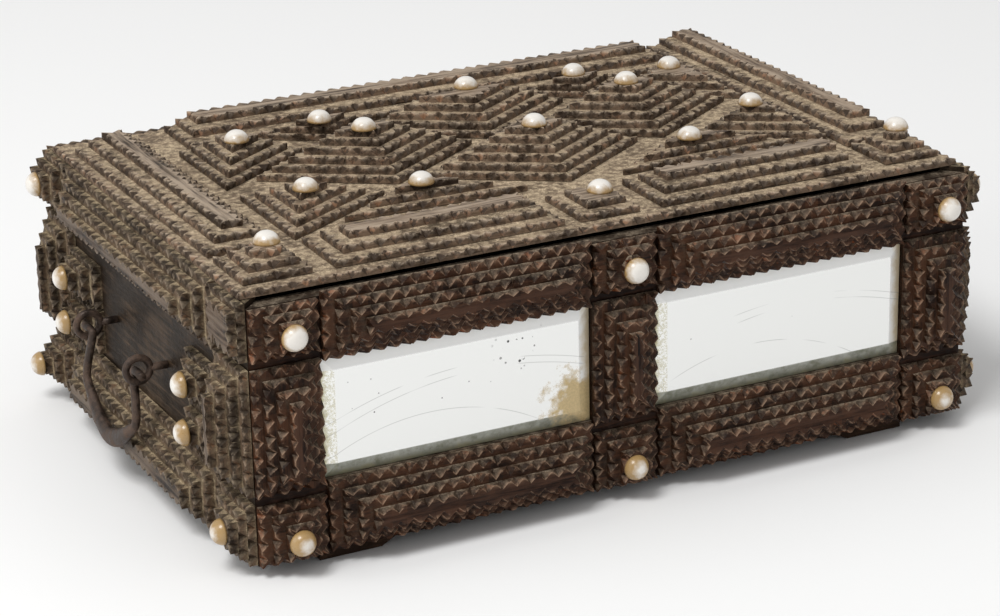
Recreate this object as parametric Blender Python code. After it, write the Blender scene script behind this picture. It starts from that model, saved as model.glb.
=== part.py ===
"""Tramp art box: notched layers of thin wood built up on a lidded box.

The box stands on four low feet. X runs along the front, Y runs to the back and Z is up.
The origin is on the surface that the feet stand on, in the middle of the box's outer limits.
All sizes are in metres.
"""
import math

import bmesh
import bpy
from mathutils import Vector

# Box carcass
BOX_LENGTH = 0.315
BOX_DEPTH = 0.217
BOX_HEIGHT = 0.105
WALL = 0.007
BOTTOM_BOARD = 0.006
FRONT_BOARD_DROP = 0.002
GAP = 0.0003
MITRE_GAP = 1.5 * GAP

# Layers and their chip carving
FRONT_LAYER = 0.003
SIDE_LAYER = 0.0033
LID_LAYER = 0.0027
BACK_LAYER = 0.003
CHIP_PITCH = 0.006
CHIP_DEPTH = 0.0028
CHIP_ROOM = 0.75
CORNER_CHIP_ROOM = 0.7
PLAIN_TOP_ROOM = 0.8
LEAST_EDGE_SHARE = 0.02
STEP_RELIEF = 0.95
MOST_CORNER_SHARE = 0.3

# Domed tacks
TACK_RADIUS = 0.00525
TACK_HEIGHT = 0.0045
TACK_SHANK = 0.002
TACK_LIFT = 0.00035
TACK_SIDES = 7
TACK_SHOULDER = (0.8, 0.62)

# Front: three posts with tacked squares above and below, bands between them
POST_WIDTH = 0.028
RIGHT_POST_WIDTH = 0.0293
CENTRE_POST_SHARE = 0.4514
CENTRE_POST_LEFT = CENTRE_POST_SHARE * BOX_LENGTH
POST_BOTTOM = 0.0285
POST_TOP_DROP = 0.026
POST_TOP = BOX_HEIGHT - POST_TOP_DROP
UPPER_SQUARE_DROP = 0.023
UPPER_SQUARE_BOTTOM = BOX_HEIGHT - UPPER_SQUARE_DROP
LOWER_SQUARE_TOP = 0.0247
BAND_SEAM = 0.001
TOP_BAND_DROP = 0.027
TOP_BAND_BOTTOM = BOX_HEIGHT - TOP_BAND_DROP
BOTTOM_BAND_TOP = 0.0295
BOTTOM_BAND_BOTTOM = 0.0007
TOP_BAND_STEPS = (0.0035, 0.0036, 0.0035, 0.0049)
BOTTOM_BAND_STEPS = (0.0028, 0.0036, 0.004, 0.0049)
POST_STEPS = (0.0033, 0.0037, 0.004, 0.0039)
UPPER_SQUARE_STEPS = (0.0022, 0.004, 0.0026, 0.005)
LOWER_SQUARE_STEPS = (0.0015, 0.004, 0.0037, 0.0045)
BAND_LAYERS = 4
POST_LAYERS = 4
SQUARE_LAYERS = 3

# Mirrors, let into the front board
MIRROR_THICKNESS = 0.0029
MIRROR_BEVEL = 0.005
MIRROR_BEVEL_DROP = 0.0012
MIRROR_SETBACK = 0.0003

# Sides: as the front, with small tacked blocks beside an iron handle
SIDE_POST_STEPS = (0.0033, 0.004, 0.004, 0.004)
SIDE_BAND_STEPS = (0.0035, 0.005, 0.0035, 0.005)
SIDE_LOW_BAND_STEPS = (0.0028, 0.005, 0.004, 0.005)
SIDE_SQUARE_END_STEP = 0.001
SIDE_SQUARE_STEP = 0.0048
SIDE_SQUARE_EDGE_STEP = 0.0029
TALL_SQUARE_LAYERS = 4
WORN_SQUARE_LAYERS = 2
BLOCK_WIDTH = 0.028
BLOCK_SHARE = 0.3814
BLOCK_HEIGHT = BLOCK_SHARE * (TOP_BAND_BOTTOM - BOTTOM_BAND_TOP)
BLOCK_SEAM = 0.0012
BLOCK_FOOT_SEAM = 0.0017
BLOCK_LOW_EDGE = BOTTOM_BAND_TOP + BLOCK_FOOT_SEAM
BLOCK_LAYERS = 3
BLOCK_INSET = 0.002
FRONT_BLOCK_STEPS = (0.0027, 0.0045, 0.0027, 0.0045)
BACK_BLOCK_STEPS = (0.0027, 0.0006, 0.0027, 0.006)

# Iron screw eyes and bail handles
HANDLE_BACKWARD = 0.006
HANDLE_CENTRE = BOX_DEPTH / 2 + HANDLE_BACKWARD
HANDLE_HEIGHT = 0.052
EYE_SPACING = 0.057
EYE_STANDOFF = 0.0125
EYE_RING = 0.005
EYE_WIRE = 0.00145
EYE_STEM = 0.0016
BAIL_WIRE = 0.0017
BAIL_GRIP = 0.0026
BAIL_END = 0.0045
BAIL_SHOULDER = 0.0044
BAIL_DROP = 0.036
BAIL_KNEE_DROP = 0.0195
BAIL_BEND_DROP = 1.5 * BAIL_WIRE
BAIL_SWEEP = ((0.75, 0.74), (0.38, 0.92))

# Back: plainer frame of two layers
BACK_FRAME_STEP = 0.005
BACK_LAYERS = 2

# Feet
FOOT_HEIGHT = 0.0043
FOOT_LENGTH = 0.034
FOOT_DEPTH = 0.026
FOOT_FROM_END = 0.026
FOOT_FROM_EDGE = 0.003
FOOT_SLANT = 0.008

# Lid board and where the loose lid lies on the walls
LID_SHORTER = 0.0005
LID_LENGTH = BOX_LENGTH - LID_SHORTER
LID_SHALLOWER = 0.012
LID_DEPTH = BOX_DEPTH - LID_SHALLOWER
LID_BOARD = 0.0023
LID_LEFT = -0.0007
LID_FRONT = 0.0046

# Lid border
BORDER_EDGE = 0.0045
BORDER_FRONT = 0.0065
CORNER_WIDTH = 0.028
CORNER_DEPTH = 0.029
STRIP_WIDTH = 0.0285
STRIP_FRONT_SEAM = 0.0055
STRIP_BACK_EDGE = 0.016
RIGHT_STRIP_WIDTH = 0.025
RIGHT_STRIP_BACK_EDGE = 0.002
RIGHT_CORNER_DEPTH = 0.026
RIGHT_STRIP_SEAM = 0.002
FRONT_STRIP_DEPTH = 0.0325
FRONT_STRIP_LEFT = 0.042
CENTRE_BLOCK_SHARE = 0.461
CENTRE_BLOCK_LEFT = CENTRE_BLOCK_SHARE * LID_LENGTH
FRONT_STRIP_END_GAP = 0.007
CENTRE_BLOCK_WIDTH = 0.026
CENTRE_BLOCK_DEPTH = 0.030
SECOND_STRIP_GAP = 0.01
SECOND_STRIP_END_GAP = 0.012
BACK_STRIP_LEFT = 0.048
BACK_STRIP_RIGHT_EDGE = 0.0315
BACK_STRIP_DEPTH = 0.031
BACK_STRIP_BACK_EDGE = 0.005
BORDER_LAYERS = 3
CENTRE_BLOCK_LAYERS = 2
OCTAGON_CUT = 0.004
LEFT_STRIP_STEPS = (0.007, 0.004, 0.0005, 0.0058)
RIGHT_STRIP_STEPS = (0.0095, 0.001, 0.0005, 0.0065)
BACK_STRIP_STEPS = (0.0085, 0.004, 0.001, 0.005)
FRONT_STRIP_STEPS = (0.007, 0.004, 0.004, 0.006)
SECOND_STRIP_STEPS = (0.007, 0.0015, 0.004, 0.005)
CENTRE_BLOCK_STEPS = (0.006, 0.003, 0.005, 0.006)
LEFT_BLOCK_STEPS = (0.005, 0.003, 0.003, 0.0045)
RIGHT_BLOCK_STEPS = (0.006, 0.0025, 0.003, 0.005)

# Lid field: the carved pattern is drawn on its own length and depth
FIELD_LEFT = 0.041
FIELD_RIGHT_EDGE = 0.0275
FIELD_FRONT = 0.043
FIELD_BACK_EDGE = 0.038
PATTERN_LENGTH = 246.0
PATTERN_DEPTH = 124.0
DIAMOND_HALF = (48.5, 32.3)
DIAMOND_CENTRES = {
    "lid_diamond_front": (124.5, 42.0),
    "lid_diamond_left": (63.5, 74.0),
    "lid_diamond_right": (185.5, 74.0),
}
BACK_DIAMOND_CENTRE = (124.5, 108.0)
FIELD_STEP = 0.0039
HALF_DIAMOND_STEP = 0.002
DIAMOND_LAYERS = 6
BACK_DIAMOND_LAYERS = 5
TRIANGLE_LAYERS = 4
SMALL_LAYERS = 3
FIELD_PIECES = {
    "lid_triangle_left": ([(0, 0), (52, 31), (0, 55)], TRIANGLE_LAYERS, FIELD_STEP),
    "lid_triangle_right": ([(242, 5), (242, 61), (195, 35)], TRIANGLE_LAYERS, FIELD_STEP),
    "lid_corner_back_left": (
        [(0, 68.8), (46, 99.4), (24, 121), (0, 121)],
        TRIANGLE_LAYERS,
        FIELD_STEP,
    ),
    "lid_corner_back_right": (
        [(242, 73.5), (242, 121), (219, 121), (200, 101.5)],
        SMALL_LAYERS,
        FIELD_STEP,
    ),
    "lid_triangle_front_left": ([(25, 9.5), (104, 8), (63.5, 35)], SMALL_LAYERS, FIELD_STEP),
    "lid_triangle_front_right": ([(146, 6), (229, 6), (185.5, 35)], SMALL_LAYERS, FIELD_STEP),
    "lid_half_diamond_left": (
        [(63.5, 107.5), (87.5, 124), (39.5, 124)],
        SMALL_LAYERS,
        HALF_DIAMOND_STEP,
    ),
    "lid_half_diamond_right": (
        [(185.5, 107.5), (209.5, 124), (161.5, 124)],
        SMALL_LAYERS,
        HALF_DIAMOND_STEP,
    ),
}

DARK_WOOD = ((0.085, 0.035, 0.02, 1.0), 0.55, 0.0)
DUSTY_WOOD = ((0.20, 0.15, 0.11, 1.0), 0.8, 0.0)
PLAIN_WOOD = ((0.15, 0.085, 0.05, 1.0), 0.7, 0.0)
MIRROR_GLASS = ((0.8, 0.82, 0.82, 1.0), 0.05, 1.0)
RUSTY_IRON = ((0.06, 0.045, 0.04, 1.0), 0.5, 0.9)


class Face:
    """A plane that pieces lie on: u and v run along it and w stands out of it."""

    def __init__(self, origin, u, v, w):
        self.origin = Vector(origin)
        self.u = Vector(u)
        self.v = Vector(v)
        self.w = Vector(w)

    def place(self, u, v, w):
        return self.origin + self.u * u + self.v * v + self.w * w


def rect(u0, u1, v0, v1):
    """Corners of a rectangle; its edges run low v, high u, high v, low u."""
    return [Vector((u0, v0)), Vector((u1, v0)), Vector((u1, v1)), Vector((u0, v1))]


def shrink(outline, steps):
    """Move each edge of a convex outline inward by its own step."""
    count = len(outline)
    lines = []
    for i, step in enumerate(steps):
        along = (outline[(i + 1) % count] - outline[i]).normalized()
        inward = Vector((-along.y, along.x))
        lines.append((outline[i] + inward * step, along))
    corners = []
    for i in range(count):
        p, a = lines[i - 1]
        q, b = lines[i]
        reach = (q - p).cross(b) / a.cross(b)
        corners.append(p + a * reach)
    return corners


def keeps_shape(outer, inner):
    """True while every edge of the inner outline still runs the way of the outer one."""
    count = len(outer)
    for i in range(count):
        old = outer[(i + 1) % count] - outer[i]
        new = inner[(i + 1) % count] - inner[i]
        if old.dot(new) <= LEAST_EDGE_SHARE * old.length_squared:
            return False
    return True


def layer_outlines(outline, steps, count):
    """Outlines of a stack's layers; the steps narrow together where the piece is narrow."""
    scale = 1.0
    while True:
        outlines = [outline]
        for _ in range(count - 1):
            outlines.append(shrink(outlines[-1], [scale * step for step in steps]))
        if all(keeps_shape(outline, inner) for inner in outlines):
            return outlines
        scale *= STEP_RELIEF


def cut_corners(outline, cut):
    """Each corner becomes two, the cut away from it along its edges."""
    corners = []
    for i, corner in enumerate(outline):
        before = outline[i - 1] - corner
        after = outline[(i + 1) % len(outline)] - corner
        for side in (before, after):
            corners.append(corner + side.normalized() * min(cut, MOST_CORNER_SHARE * side.length))
    return corners


def chips(outline, rooms):
    """Points of one chipped layer: its low ring, its high ring, and the chip count of each edge.

    Each chip runs from a tooth on the upper edge to the next; its floor starts at a point
    inside the upper face and ends on the lower edge halfway between the teeth.
    """
    count = len(outline)
    low = []
    high = []
    chip_counts = []
    for i in range(count):
        a = outline[i]
        b = outline[(i + 1) % count]
        along = b - a
        number = max(1, round(along.length / CHIP_PITCH))
        inward = Vector((-along.y, along.x)).normalized()
        before = math.pi - (a - outline[i - 1]).angle(along)
        after = math.pi - along.angle(outline[(i + 2) % count] - b)
        low.append(a)
        for k in range(number):
            share = (k + 0.5) / number
            middle = a + along * share
            corner_room = min(
                share * along.length * math.tan(before / 2),
                (1 - share) * along.length * math.tan(after / 2),
            )
            depth = min(CHIP_DEPTH, CHIP_ROOM * rooms[i], CORNER_CHIP_ROOM * corner_room)
            high.append(a + along * (k / number))
            high.append(middle + inward * depth)
            low.append(middle)
        chip_counts.append(number)
    return low, high, chip_counts


class Carving:
    """Gathers the closed surface of one carved piece in the frame of its face."""

    def __init__(self, face):
        self.face = face
        self.mesh = bmesh.new()

    def ring(self, points, w):
        return [self.mesh.verts.new(self.face.place(p.x, p.y, w)) for p in points]

    def wall(self, low, high):
        """Quads between two rings of equal count."""
        count = len(low)
        for i in range(count):
            j = (i + 1) % count
            self.mesh.faces.new((low[i], low[j], high[j], high[i]))

    def chipped_wall(self, low, high, chip_counts):
        """Riser of a chipped layer: two facets to each chip and the teeth between them."""
        at_low = 0
        at_high = 0
        for number in chip_counts:
            for k in range(number):
                tooth = high[at_high + 2 * k]
                inner = high[at_high + 2 * k + 1]
                next_tooth = high[(at_high + 2 * k + 2) % len(high)]
                foot = low[at_low + k + 1]
                self.mesh.faces.new((tooth, low[at_low + k], foot))
                self.mesh.faces.new((tooth, foot, inner))
                self.mesh.faces.new((inner, foot, next_tooth))
            last_foot = low[at_low + number]
            corner = low[(at_low + number + 1) % len(low)]
            self.mesh.faces.new((high[(at_high + 2 * number) % len(high)], last_foot, corner))
            at_low += number + 1
            at_high += 2 * number

    def fill(self, *loops):
        """Flat surface inside the first loop, open where the other loops stand."""
        edges = []
        for loop in loops:
            for i, vert in enumerate(loop):
                pair = (vert, loop[(i + 1) % len(loop)])
                edges.append(self.mesh.edges.get(pair) or self.mesh.edges.new(pair))
        bmesh.ops.triangle_fill(self.mesh, use_beauty=True, edges=edges, normal=self.face.w)

    def tack(self, centre, level):
        """Domed head on a short shank; returns the ring where the shank meets the wood."""
        profile = (
            (TACK_SHANK, 0.0),
            (TACK_RADIUS, TACK_LIFT),
            (TACK_SHOULDER[0] * TACK_RADIUS, TACK_SHOULDER[1] * TACK_HEIGHT),
        )
        rings = []
        for radius, height in profile:
            turn = [2 * math.pi * k / TACK_SIDES for k in range(TACK_SIDES)]
            points = [centre + Vector((math.cos(a), math.sin(a))) * radius for a in turn]
            rings.append(self.ring(points, level + height))
        self.wall(rings[0], rings[1])
        self.wall(rings[1], rings[2])
        crown = self.mesh.verts.new(self.face.place(centre.x, centre.y, level + TACK_HEIGHT))
        for i in range(TACK_SIDES):
            self.mesh.faces.new((rings[2][i], rings[2][(i + 1) % TACK_SIDES], crown))
        return rings[0]

    def stack(self, outline, base, layer, steps, count, tacked=False, carved=True, top_cut=0.0):
        """Layers of one stack from its base level up; returns its lowest ring."""
        outlines = layer_outlines(outline, steps, count)
        if top_cut:
            outlines[-1] = cut_corners(outlines[-1], top_cut)
        lowest = None
        tread = None
        for k, edge in enumerate(outlines):
            bottom = base if k == 0 else k * layer
            is_top = k == count - 1
            if is_top and carved:
                centre = sum(edge, Vector((0, 0))) / len(edge)
                rooms = []
                for i, corner in enumerate(edge):
                    along = (edge[(i + 1) % len(edge)] - corner).normalized()
                    reach = abs(along.cross(centre - corner))
                    rooms.append(reach - TACK_SHANK if tacked else PLAIN_TOP_ROOM * reach)
                low_points, high_points, chip_counts = chips(edge, rooms)
                low = self.ring(low_points, bottom)
                high = self.ring(high_points, (k + 1) * layer)
                self.chipped_wall(low, high, chip_counts)
            else:
                low = self.ring(edge, bottom)
                high = self.ring(edge, (k + 1) * layer)
                self.wall(low, high)
            if tread is None:
                lowest = low
            else:
                self.fill(tread, low)
            tread = high
        if tacked:
            centre = sum(outlines[-1], Vector((0, 0))) / len(outlines[-1])
            self.fill(tread, self.tack(centre, count * layer))
        else:
            self.fill(tread)
        return lowest

    def finish(self, name, finish):
        bmesh.ops.recalc_face_normals(self.mesh, faces=self.mesh.faces)
        mesh = bpy.data.meshes.new(name)
        self.mesh.to_mesh(mesh)
        self.mesh.free()
        return keep(bpy.data.objects.new(name, mesh), finish)


def material(name, finish):
    colour, roughness, metallic = finish
    made = bpy.data.materials.new(name)
    made.use_nodes = True
    shader = made.node_tree.nodes["Principled BSDF"]
    shader.inputs["Base Color"].default_value = colour
    shader.inputs["Roughness"].default_value = roughness
    shader.inputs["Metallic"].default_value = metallic
    return made


def keep(obj, finish):
    """Give a finished piece its material and its place in the box's collection."""
    obj.data.materials.append(material(obj.name + "_finish", finish))
    box_collection.objects.link(obj)
    return obj


def layered_piece(
    name, face, outline, layer, steps, count, finish, tacked=False, carved=True, top_cut=0.0
):
    """A stack of layers that is glued on as one piece of its own."""
    carving = Carving(face)
    carving.fill(carving.stack(outline, GAP, layer, steps, count, tacked, carved, top_cut))
    return carving.finish(name, finish)


def carved_board(name, face, outline, stacks, pockets, finish):
    """A wall with mitred ends, stacks standing on its outer face and pockets let into it."""
    carving = Carving(face)
    back = carving.ring(shrink(outline, [0, WALL, 0, WALL]), -WALL)
    front = carving.ring(outline, 0.0)
    carving.wall(back, front)
    carving.fill(back)
    holes = [carving.stack(**spec) for spec in stacks]
    for pocket, depth in pockets:
        mouth = carving.ring(pocket, 0.0)
        floor = carving.ring(pocket, -depth)
        carving.wall(floor, mouth)
        carving.fill(floor)
        holes.append(mouth)
    carving.fill(front, *holes)
    return carving.finish(name, finish)


def block(name, low, high, finish):
    """A plain board from its lowest to its highest corner, counted from the carcass's corner."""
    size = Vector(high) - Vector(low)
    bm = bmesh.new()
    bmesh.ops.create_cube(bm, size=1.0)
    bmesh.ops.scale(bm, vec=size, verts=bm.verts)
    bmesh.ops.translate(bm, vec=CORNER + (Vector(high) + Vector(low)) / 2, verts=bm.verts)
    mesh = bpy.data.meshes.new(name)
    bm.to_mesh(mesh)
    bm.free()
    return keep(bpy.data.objects.new(name, mesh), finish)


# The carcass's front left lower corner, so that the box's outer limits are centred on the origin
FRONT_REACH = max(SQUARE_LAYERS * FRONT_LAYER + TACK_HEIGHT, BAND_LAYERS * FRONT_LAYER)
BACK_REACH = BACK_LAYERS * BACK_LAYER
CORNER = Vector(
    (-BOX_LENGTH / 2, -(BOX_DEPTH + BACK_REACH - FRONT_REACH) / 2, GAP + FOOT_HEIGHT)
)


def carcass_face(x, y, z, u, v, w):
    """A face whose origin is counted from the carcass's corner."""
    return Face(CORNER + Vector((x, y, z)), u, v, w)


LID_UNDERSIDE = BOX_HEIGHT + GAP
FRONT = carcass_face(0, 0, 0, (1, 0, 0), (0, 0, 1), (0, -1, 0))
BACK = carcass_face(0, BOX_DEPTH, 0, (1, 0, 0), (0, 0, 1), (0, 1, 0))
LEFT = carcass_face(0, 0, 0, (0, 1, 0), (0, 0, 1), (-1, 0, 0))
RIGHT = carcass_face(BOX_LENGTH, 0, 0, (0, 1, 0), (0, 0, 1), (1, 0, 0))
UNDER = carcass_face(0, 0, 0, (1, 0, 0), (0, 1, 0), (0, 0, -1))
LID_BACK = carcass_face(LID_LEFT, LID_FRONT, LID_UNDERSIDE, (1, 0, 0), (0, 1, 0), (0, 0, 1))
LID = carcass_face(LID_LEFT, LID_FRONT, LID_UNDERSIDE + LID_BOARD, (1, 0, 0), (0, 1, 0), (0, 0, 1))


def square(outline, layer, steps, count, tacked=True, carved=True):
    """A square stack that a board carries."""
    return {
        "outline": outline,
        "base": 0.0,
        "layer": layer,
        "steps": steps,
        "count": count,
        "tacked": tacked,
        "carved": carved and tacked,
    }


def front_columns():
    """Left and right edges of the three posts of the front."""
    return {
        "left": (0.0, POST_WIDTH),
        "centre": (CENTRE_POST_LEFT, CENTRE_POST_LEFT + POST_WIDTH),
        "right": (BOX_LENGTH - RIGHT_POST_WIDTH, BOX_LENGTH),
    }


def mirror_openings():
    """Recesses between the posts and the bands, one to each mirror."""
    columns = front_columns()
    spans = {
        "left": (columns["left"][1], columns["centre"][0]),
        "right": (columns["centre"][1], columns["right"][0]),
    }
    return {
        side: (u0 + GAP, u1, BOTTOM_BAND_TOP, TOP_BAND_BOTTOM) for side, (u0, u1) in spans.items()
    }


def make_front():
    squares = []
    for u0, u1 in front_columns().values():
        upper = rect(u0, u1, UPPER_SQUARE_BOTTOM, BOX_HEIGHT - FRONT_BOARD_DROP)
        lower = rect(u0, u1, 0.0, LOWER_SQUARE_TOP)
        inset_upper = shrink(upper, [GAP] * 4)
        inset_lower = shrink(lower, [GAP] * 4)
        squares.append(square(inset_upper, FRONT_LAYER, UPPER_SQUARE_STEPS, SQUARE_LAYERS))
        squares.append(square(inset_lower, FRONT_LAYER, LOWER_SQUARE_STEPS, SQUARE_LAYERS))
    board = rect(0.0, BOX_LENGTH, 0.0, BOX_HEIGHT - FRONT_BOARD_DROP)
    depth = MIRROR_THICKNESS + MIRROR_SETBACK + GAP
    pockets = [(rect(*opening), depth) for opening in mirror_openings().values()]
    carved_board("front_board", FRONT, board, squares, pockets, DARK_WOOD)

    columns = front_columns()
    for side, (u0, u1) in columns.items():
        outline = rect(u0, u1, POST_BOTTOM, POST_TOP)
        layered_piece(
            "front_post_" + side, FRONT, outline, FRONT_LAYER, POST_STEPS, POST_LAYERS, DARK_WOOD
        )
    spans = {
        "left": (columns["left"][1] + BAND_SEAM, columns["centre"][0] - BAND_SEAM),
        "right": (columns["centre"][1] + BAND_SEAM, columns["right"][0] - BAND_SEAM),
    }
    for side, (u0, u1) in spans.items():
        top = rect(u0, u1, TOP_BAND_BOTTOM, BOX_HEIGHT)
        bottom = rect(u0, u1, BOTTOM_BAND_BOTTOM, BOTTOM_BAND_TOP)
        layered_piece(
            "front_top_band_" + side, FRONT, top, FRONT_LAYER, TOP_BAND_STEPS, BAND_LAYERS, DARK_WOOD
        )
        layered_piece(
            "front_bottom_band_" + side,
            FRONT,
            bottom,
            FRONT_LAYER,
            BOTTOM_BAND_STEPS,
            BAND_LAYERS,
            DARK_WOOD,
        )


def make_mirrors():
    """Flat glass with a sloping bevel all round, loose in its recess by the gap."""
    for side, (u0, u1, v0, v1) in mirror_openings().items():
        glass = Carving(FRONT)
        edge = rect(u0 + GAP, u1 - GAP, v0 + GAP, v1 - GAP)
        back = glass.ring(edge, -MIRROR_SETBACK - MIRROR_THICKNESS)
        rim = glass.ring(edge, -MIRROR_SETBACK - MIRROR_BEVEL_DROP)
        face = glass.ring(shrink(edge, [MIRROR_BEVEL] * 4), -MIRROR_SETBACK)
        glass.fill(back)
        glass.wall(back, rim)
        glass.wall(rim, face)
        glass.fill(face)
        glass.finish("mirror_" + side, MIRROR_GLASS)


def side_squares(worn, carved):
    """Corner squares of a side board and the small blocks beside its handle."""
    end = SIDE_SQUARE_END_STEP
    step = SIDE_SQUARE_STEP
    edge = SIDE_SQUARE_EDGE_STEP
    front_steps = (edge, step, edge, end)
    back_steps = (edge, end, edge, step)
    near = (2 * MITRE_GAP, POST_WIDTH)
    far = (BOX_DEPTH - POST_WIDTH, BOX_DEPTH - 2 * MITRE_GAP)
    upper = (UPPER_SQUARE_BOTTOM, BOX_HEIGHT - GAP)
    lower = (GAP, LOWER_SQUARE_TOP)
    top_layers = WORN_SQUARE_LAYERS if worn else SQUARE_LAYERS
    places = [
        square(rect(*near, *upper), SIDE_LAYER, front_steps, top_layers, not worn, carved),
        square(rect(*far, *upper), SIDE_LAYER, back_steps, SQUARE_LAYERS, carved=carved),
        square(rect(*near, *lower), SIDE_LAYER, front_steps, SQUARE_LAYERS, carved=carved),
        square(rect(*far, *lower), SIDE_LAYER, back_steps, TALL_SQUARE_LAYERS, carved=carved),
    ]
    front_edge = POST_WIDTH + BLOCK_INSET
    back_edge = BOX_DEPTH - POST_WIDTH - BAND_SEAM
    for row in range(2):
        low = BLOCK_LOW_EDGE + row * (BLOCK_HEIGHT + BLOCK_SEAM)
        high = low + BLOCK_HEIGHT
        near_block = rect(front_edge, front_edge + BLOCK_WIDTH, low, high)
        far_block = rect(back_edge - BLOCK_WIDTH, back_edge, low, high)
        for outline, steps in ((near_block, FRONT_BLOCK_STEPS), (far_block, BACK_BLOCK_STEPS)):
            places.append(square(outline, SIDE_LAYER, steps, BLOCK_LAYERS, carved=carved))
    return places


def make_side(side, face, worn, carved):
    board = rect(MITRE_GAP, BOX_DEPTH - MITRE_GAP, 0.0, BOX_HEIGHT)
    carved_board(side + "_board", face, board, side_squares(worn, carved), [], DUSTY_WOOD)
    posts = {"front": (0.0, POST_WIDTH), "back": (BOX_DEPTH - POST_WIDTH, BOX_DEPTH)}
    for end, (u0, u1) in posts.items():
        layered_piece(
            side + "_post_" + end,
            face,
            rect(u0, u1, POST_BOTTOM, POST_TOP),
            SIDE_LAYER,
            SIDE_POST_STEPS,
            POST_LAYERS,
            DUSTY_WOOD,
            carved=carved,
        )
    u0 = POST_WIDTH + BAND_SEAM
    u1 = BOX_DEPTH - POST_WIDTH - BAND_SEAM
    layered_piece(
        side + "_top_band",
        face,
        rect(u0, u1, TOP_BAND_BOTTOM, BOX_HEIGHT),
        SIDE_LAYER,
        SIDE_BAND_STEPS,
        BAND_LAYERS,
        DUSTY_WOOD,
        carved=carved,
    )
    layered_piece(
        side + "_bottom_band",
        face,
        rect(u0, u1, BOTTOM_BAND_BOTTOM, BOTTOM_BAND_TOP),
        SIDE_LAYER,
        SIDE_LOW_BAND_STEPS,
        BAND_LAYERS,
        DUSTY_WOOD,
        carved=carved,
    )


def smooth_route(points, steps):
    """Points of a smooth curve that passes through the given ones."""
    route = []
    last = len(points) - 1
    for i in range(last):
        p0 = points[max(i - 1, 0)]
        p1 = points[i]
        p2 = points[i + 1]
        p3 = points[min(i + 2, last)]
        for k in range(steps):
            t = k / steps
            bend = (p2 - p0) * t
            bend += (2 * p0 - 5 * p1 + 4 * p2 - p3) * t ** 2
            bend += (3 * p1 - p0 - 3 * p2 + p3) * t ** 3
            route.append(p1 + 0.5 * bend)
    route.append(points[last])
    return route


def make_eye(name, face, along):
    """Screw eye: a ring that stands edge-on to the wall, on a short stem."""
    centre = face.place(along, HANDLE_HEIGHT, EYE_STANDOFF)
    bpy.ops.mesh.primitive_torus_add(
        major_radius=EYE_RING,
        minor_radius=EYE_WIRE,
        major_segments=12,
        minor_segments=6,
        location=centre,
        rotation=(math.pi / 2, 0, 0),
    )
    ring = take_new(name, box_collection)
    ring.data.materials.append(material(name + "_finish", RUSTY_IRON))
    stem_length = EYE_STANDOFF - EYE_RING - GAP
    middle = face.place(along, HANDLE_HEIGHT, GAP + stem_length / 2)
    bpy.ops.mesh.primitive_cylinder_add(
        vertices=8,
        radius=EYE_STEM,
        depth=stem_length,
        location=middle,
        rotation=(0, math.pi / 2, 0),
    )
    stem = take_new(name + "_stem", cutter_collection)
    stem.hide_render = True
    stem.display_type = "WIRE"
    join = ring.modifiers.new("stem", "BOOLEAN")
    join.operation = "UNION"
    join.solver = "EXACT"
    join.object = stem


def take_new(name, collection):
    """Name the object that an operator has just added and move it to its collection."""
    made = bpy.context.active_object
    made.name = name
    made.data.name = name
    for holder in list(made.users_collection):
        holder.objects.unlink(made)
    collection.objects.link(made)
    return made


def make_bail(name, face):
    """Hanging handle: its ends pass through the eyes, its grip rests against the lowest band."""
    half = EYE_SPACING / 2
    shoulder = half - BAIL_SHOULDER
    side = [
        Vector((half + BAIL_END, 0.0)),
        Vector((shoulder + BAIL_WIRE, 0.0)),
        Vector((shoulder, -BAIL_BEND_DROP)),
        Vector((half, -BAIL_KNEE_DROP)),
    ]
    side += [Vector((out * half, -drop * BAIL_DROP)) for out, drop in BAIL_SWEEP]
    other_side = [Vector((-p.x, p.y)) for p in reversed(side)]
    route = smooth_route(side + [Vector((0.0, -BAIL_DROP))] + other_side, 2)
    reach = BAND_LAYERS * SIDE_LAYER + 2 * GAP + BAIL_GRIP - EYE_STANDOFF
    lean = math.asin(max(0.0, reach) / BAIL_DROP)

    curve = bpy.data.curves.new(name, "CURVE")
    curve.dimensions = "3D"
    curve.bevel_depth = BAIL_WIRE
    curve.bevel_resolution = 1
    curve.use_fill_caps = True
    spline = curve.splines.new("POLY")
    spline.points.add(len(route) - 1)
    for point, p in zip(spline.points, route):
        out = -p.y * math.sin(lean)
        place = face.u * p.x + face.v * p.y * math.cos(lean) + face.w * out
        point.co = (*place, 1.0)
        swell = max(0.0, -p.y - BAIL_KNEE_DROP) / (BAIL_DROP - BAIL_KNEE_DROP)
        point.radius = 1.0 + (BAIL_GRIP / BAIL_WIRE - 1.0) * swell
    bail = keep(bpy.data.objects.new(name, curve), RUSTY_IRON)
    axis_height = HANDLE_HEIGHT - (EYE_RING - EYE_WIRE) + BAIL_WIRE + GAP
    bail.location = face.place(HANDLE_CENTRE, axis_height, EYE_STANDOFF)


def make_handle(side, face):
    half = EYE_SPACING / 2
    make_eye(side + "_eye_front", face, HANDLE_CENTRE - half)
    make_eye(side + "_eye_back", face, HANDLE_CENTRE + half)
    make_bail(side + "_handle", face)


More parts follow.
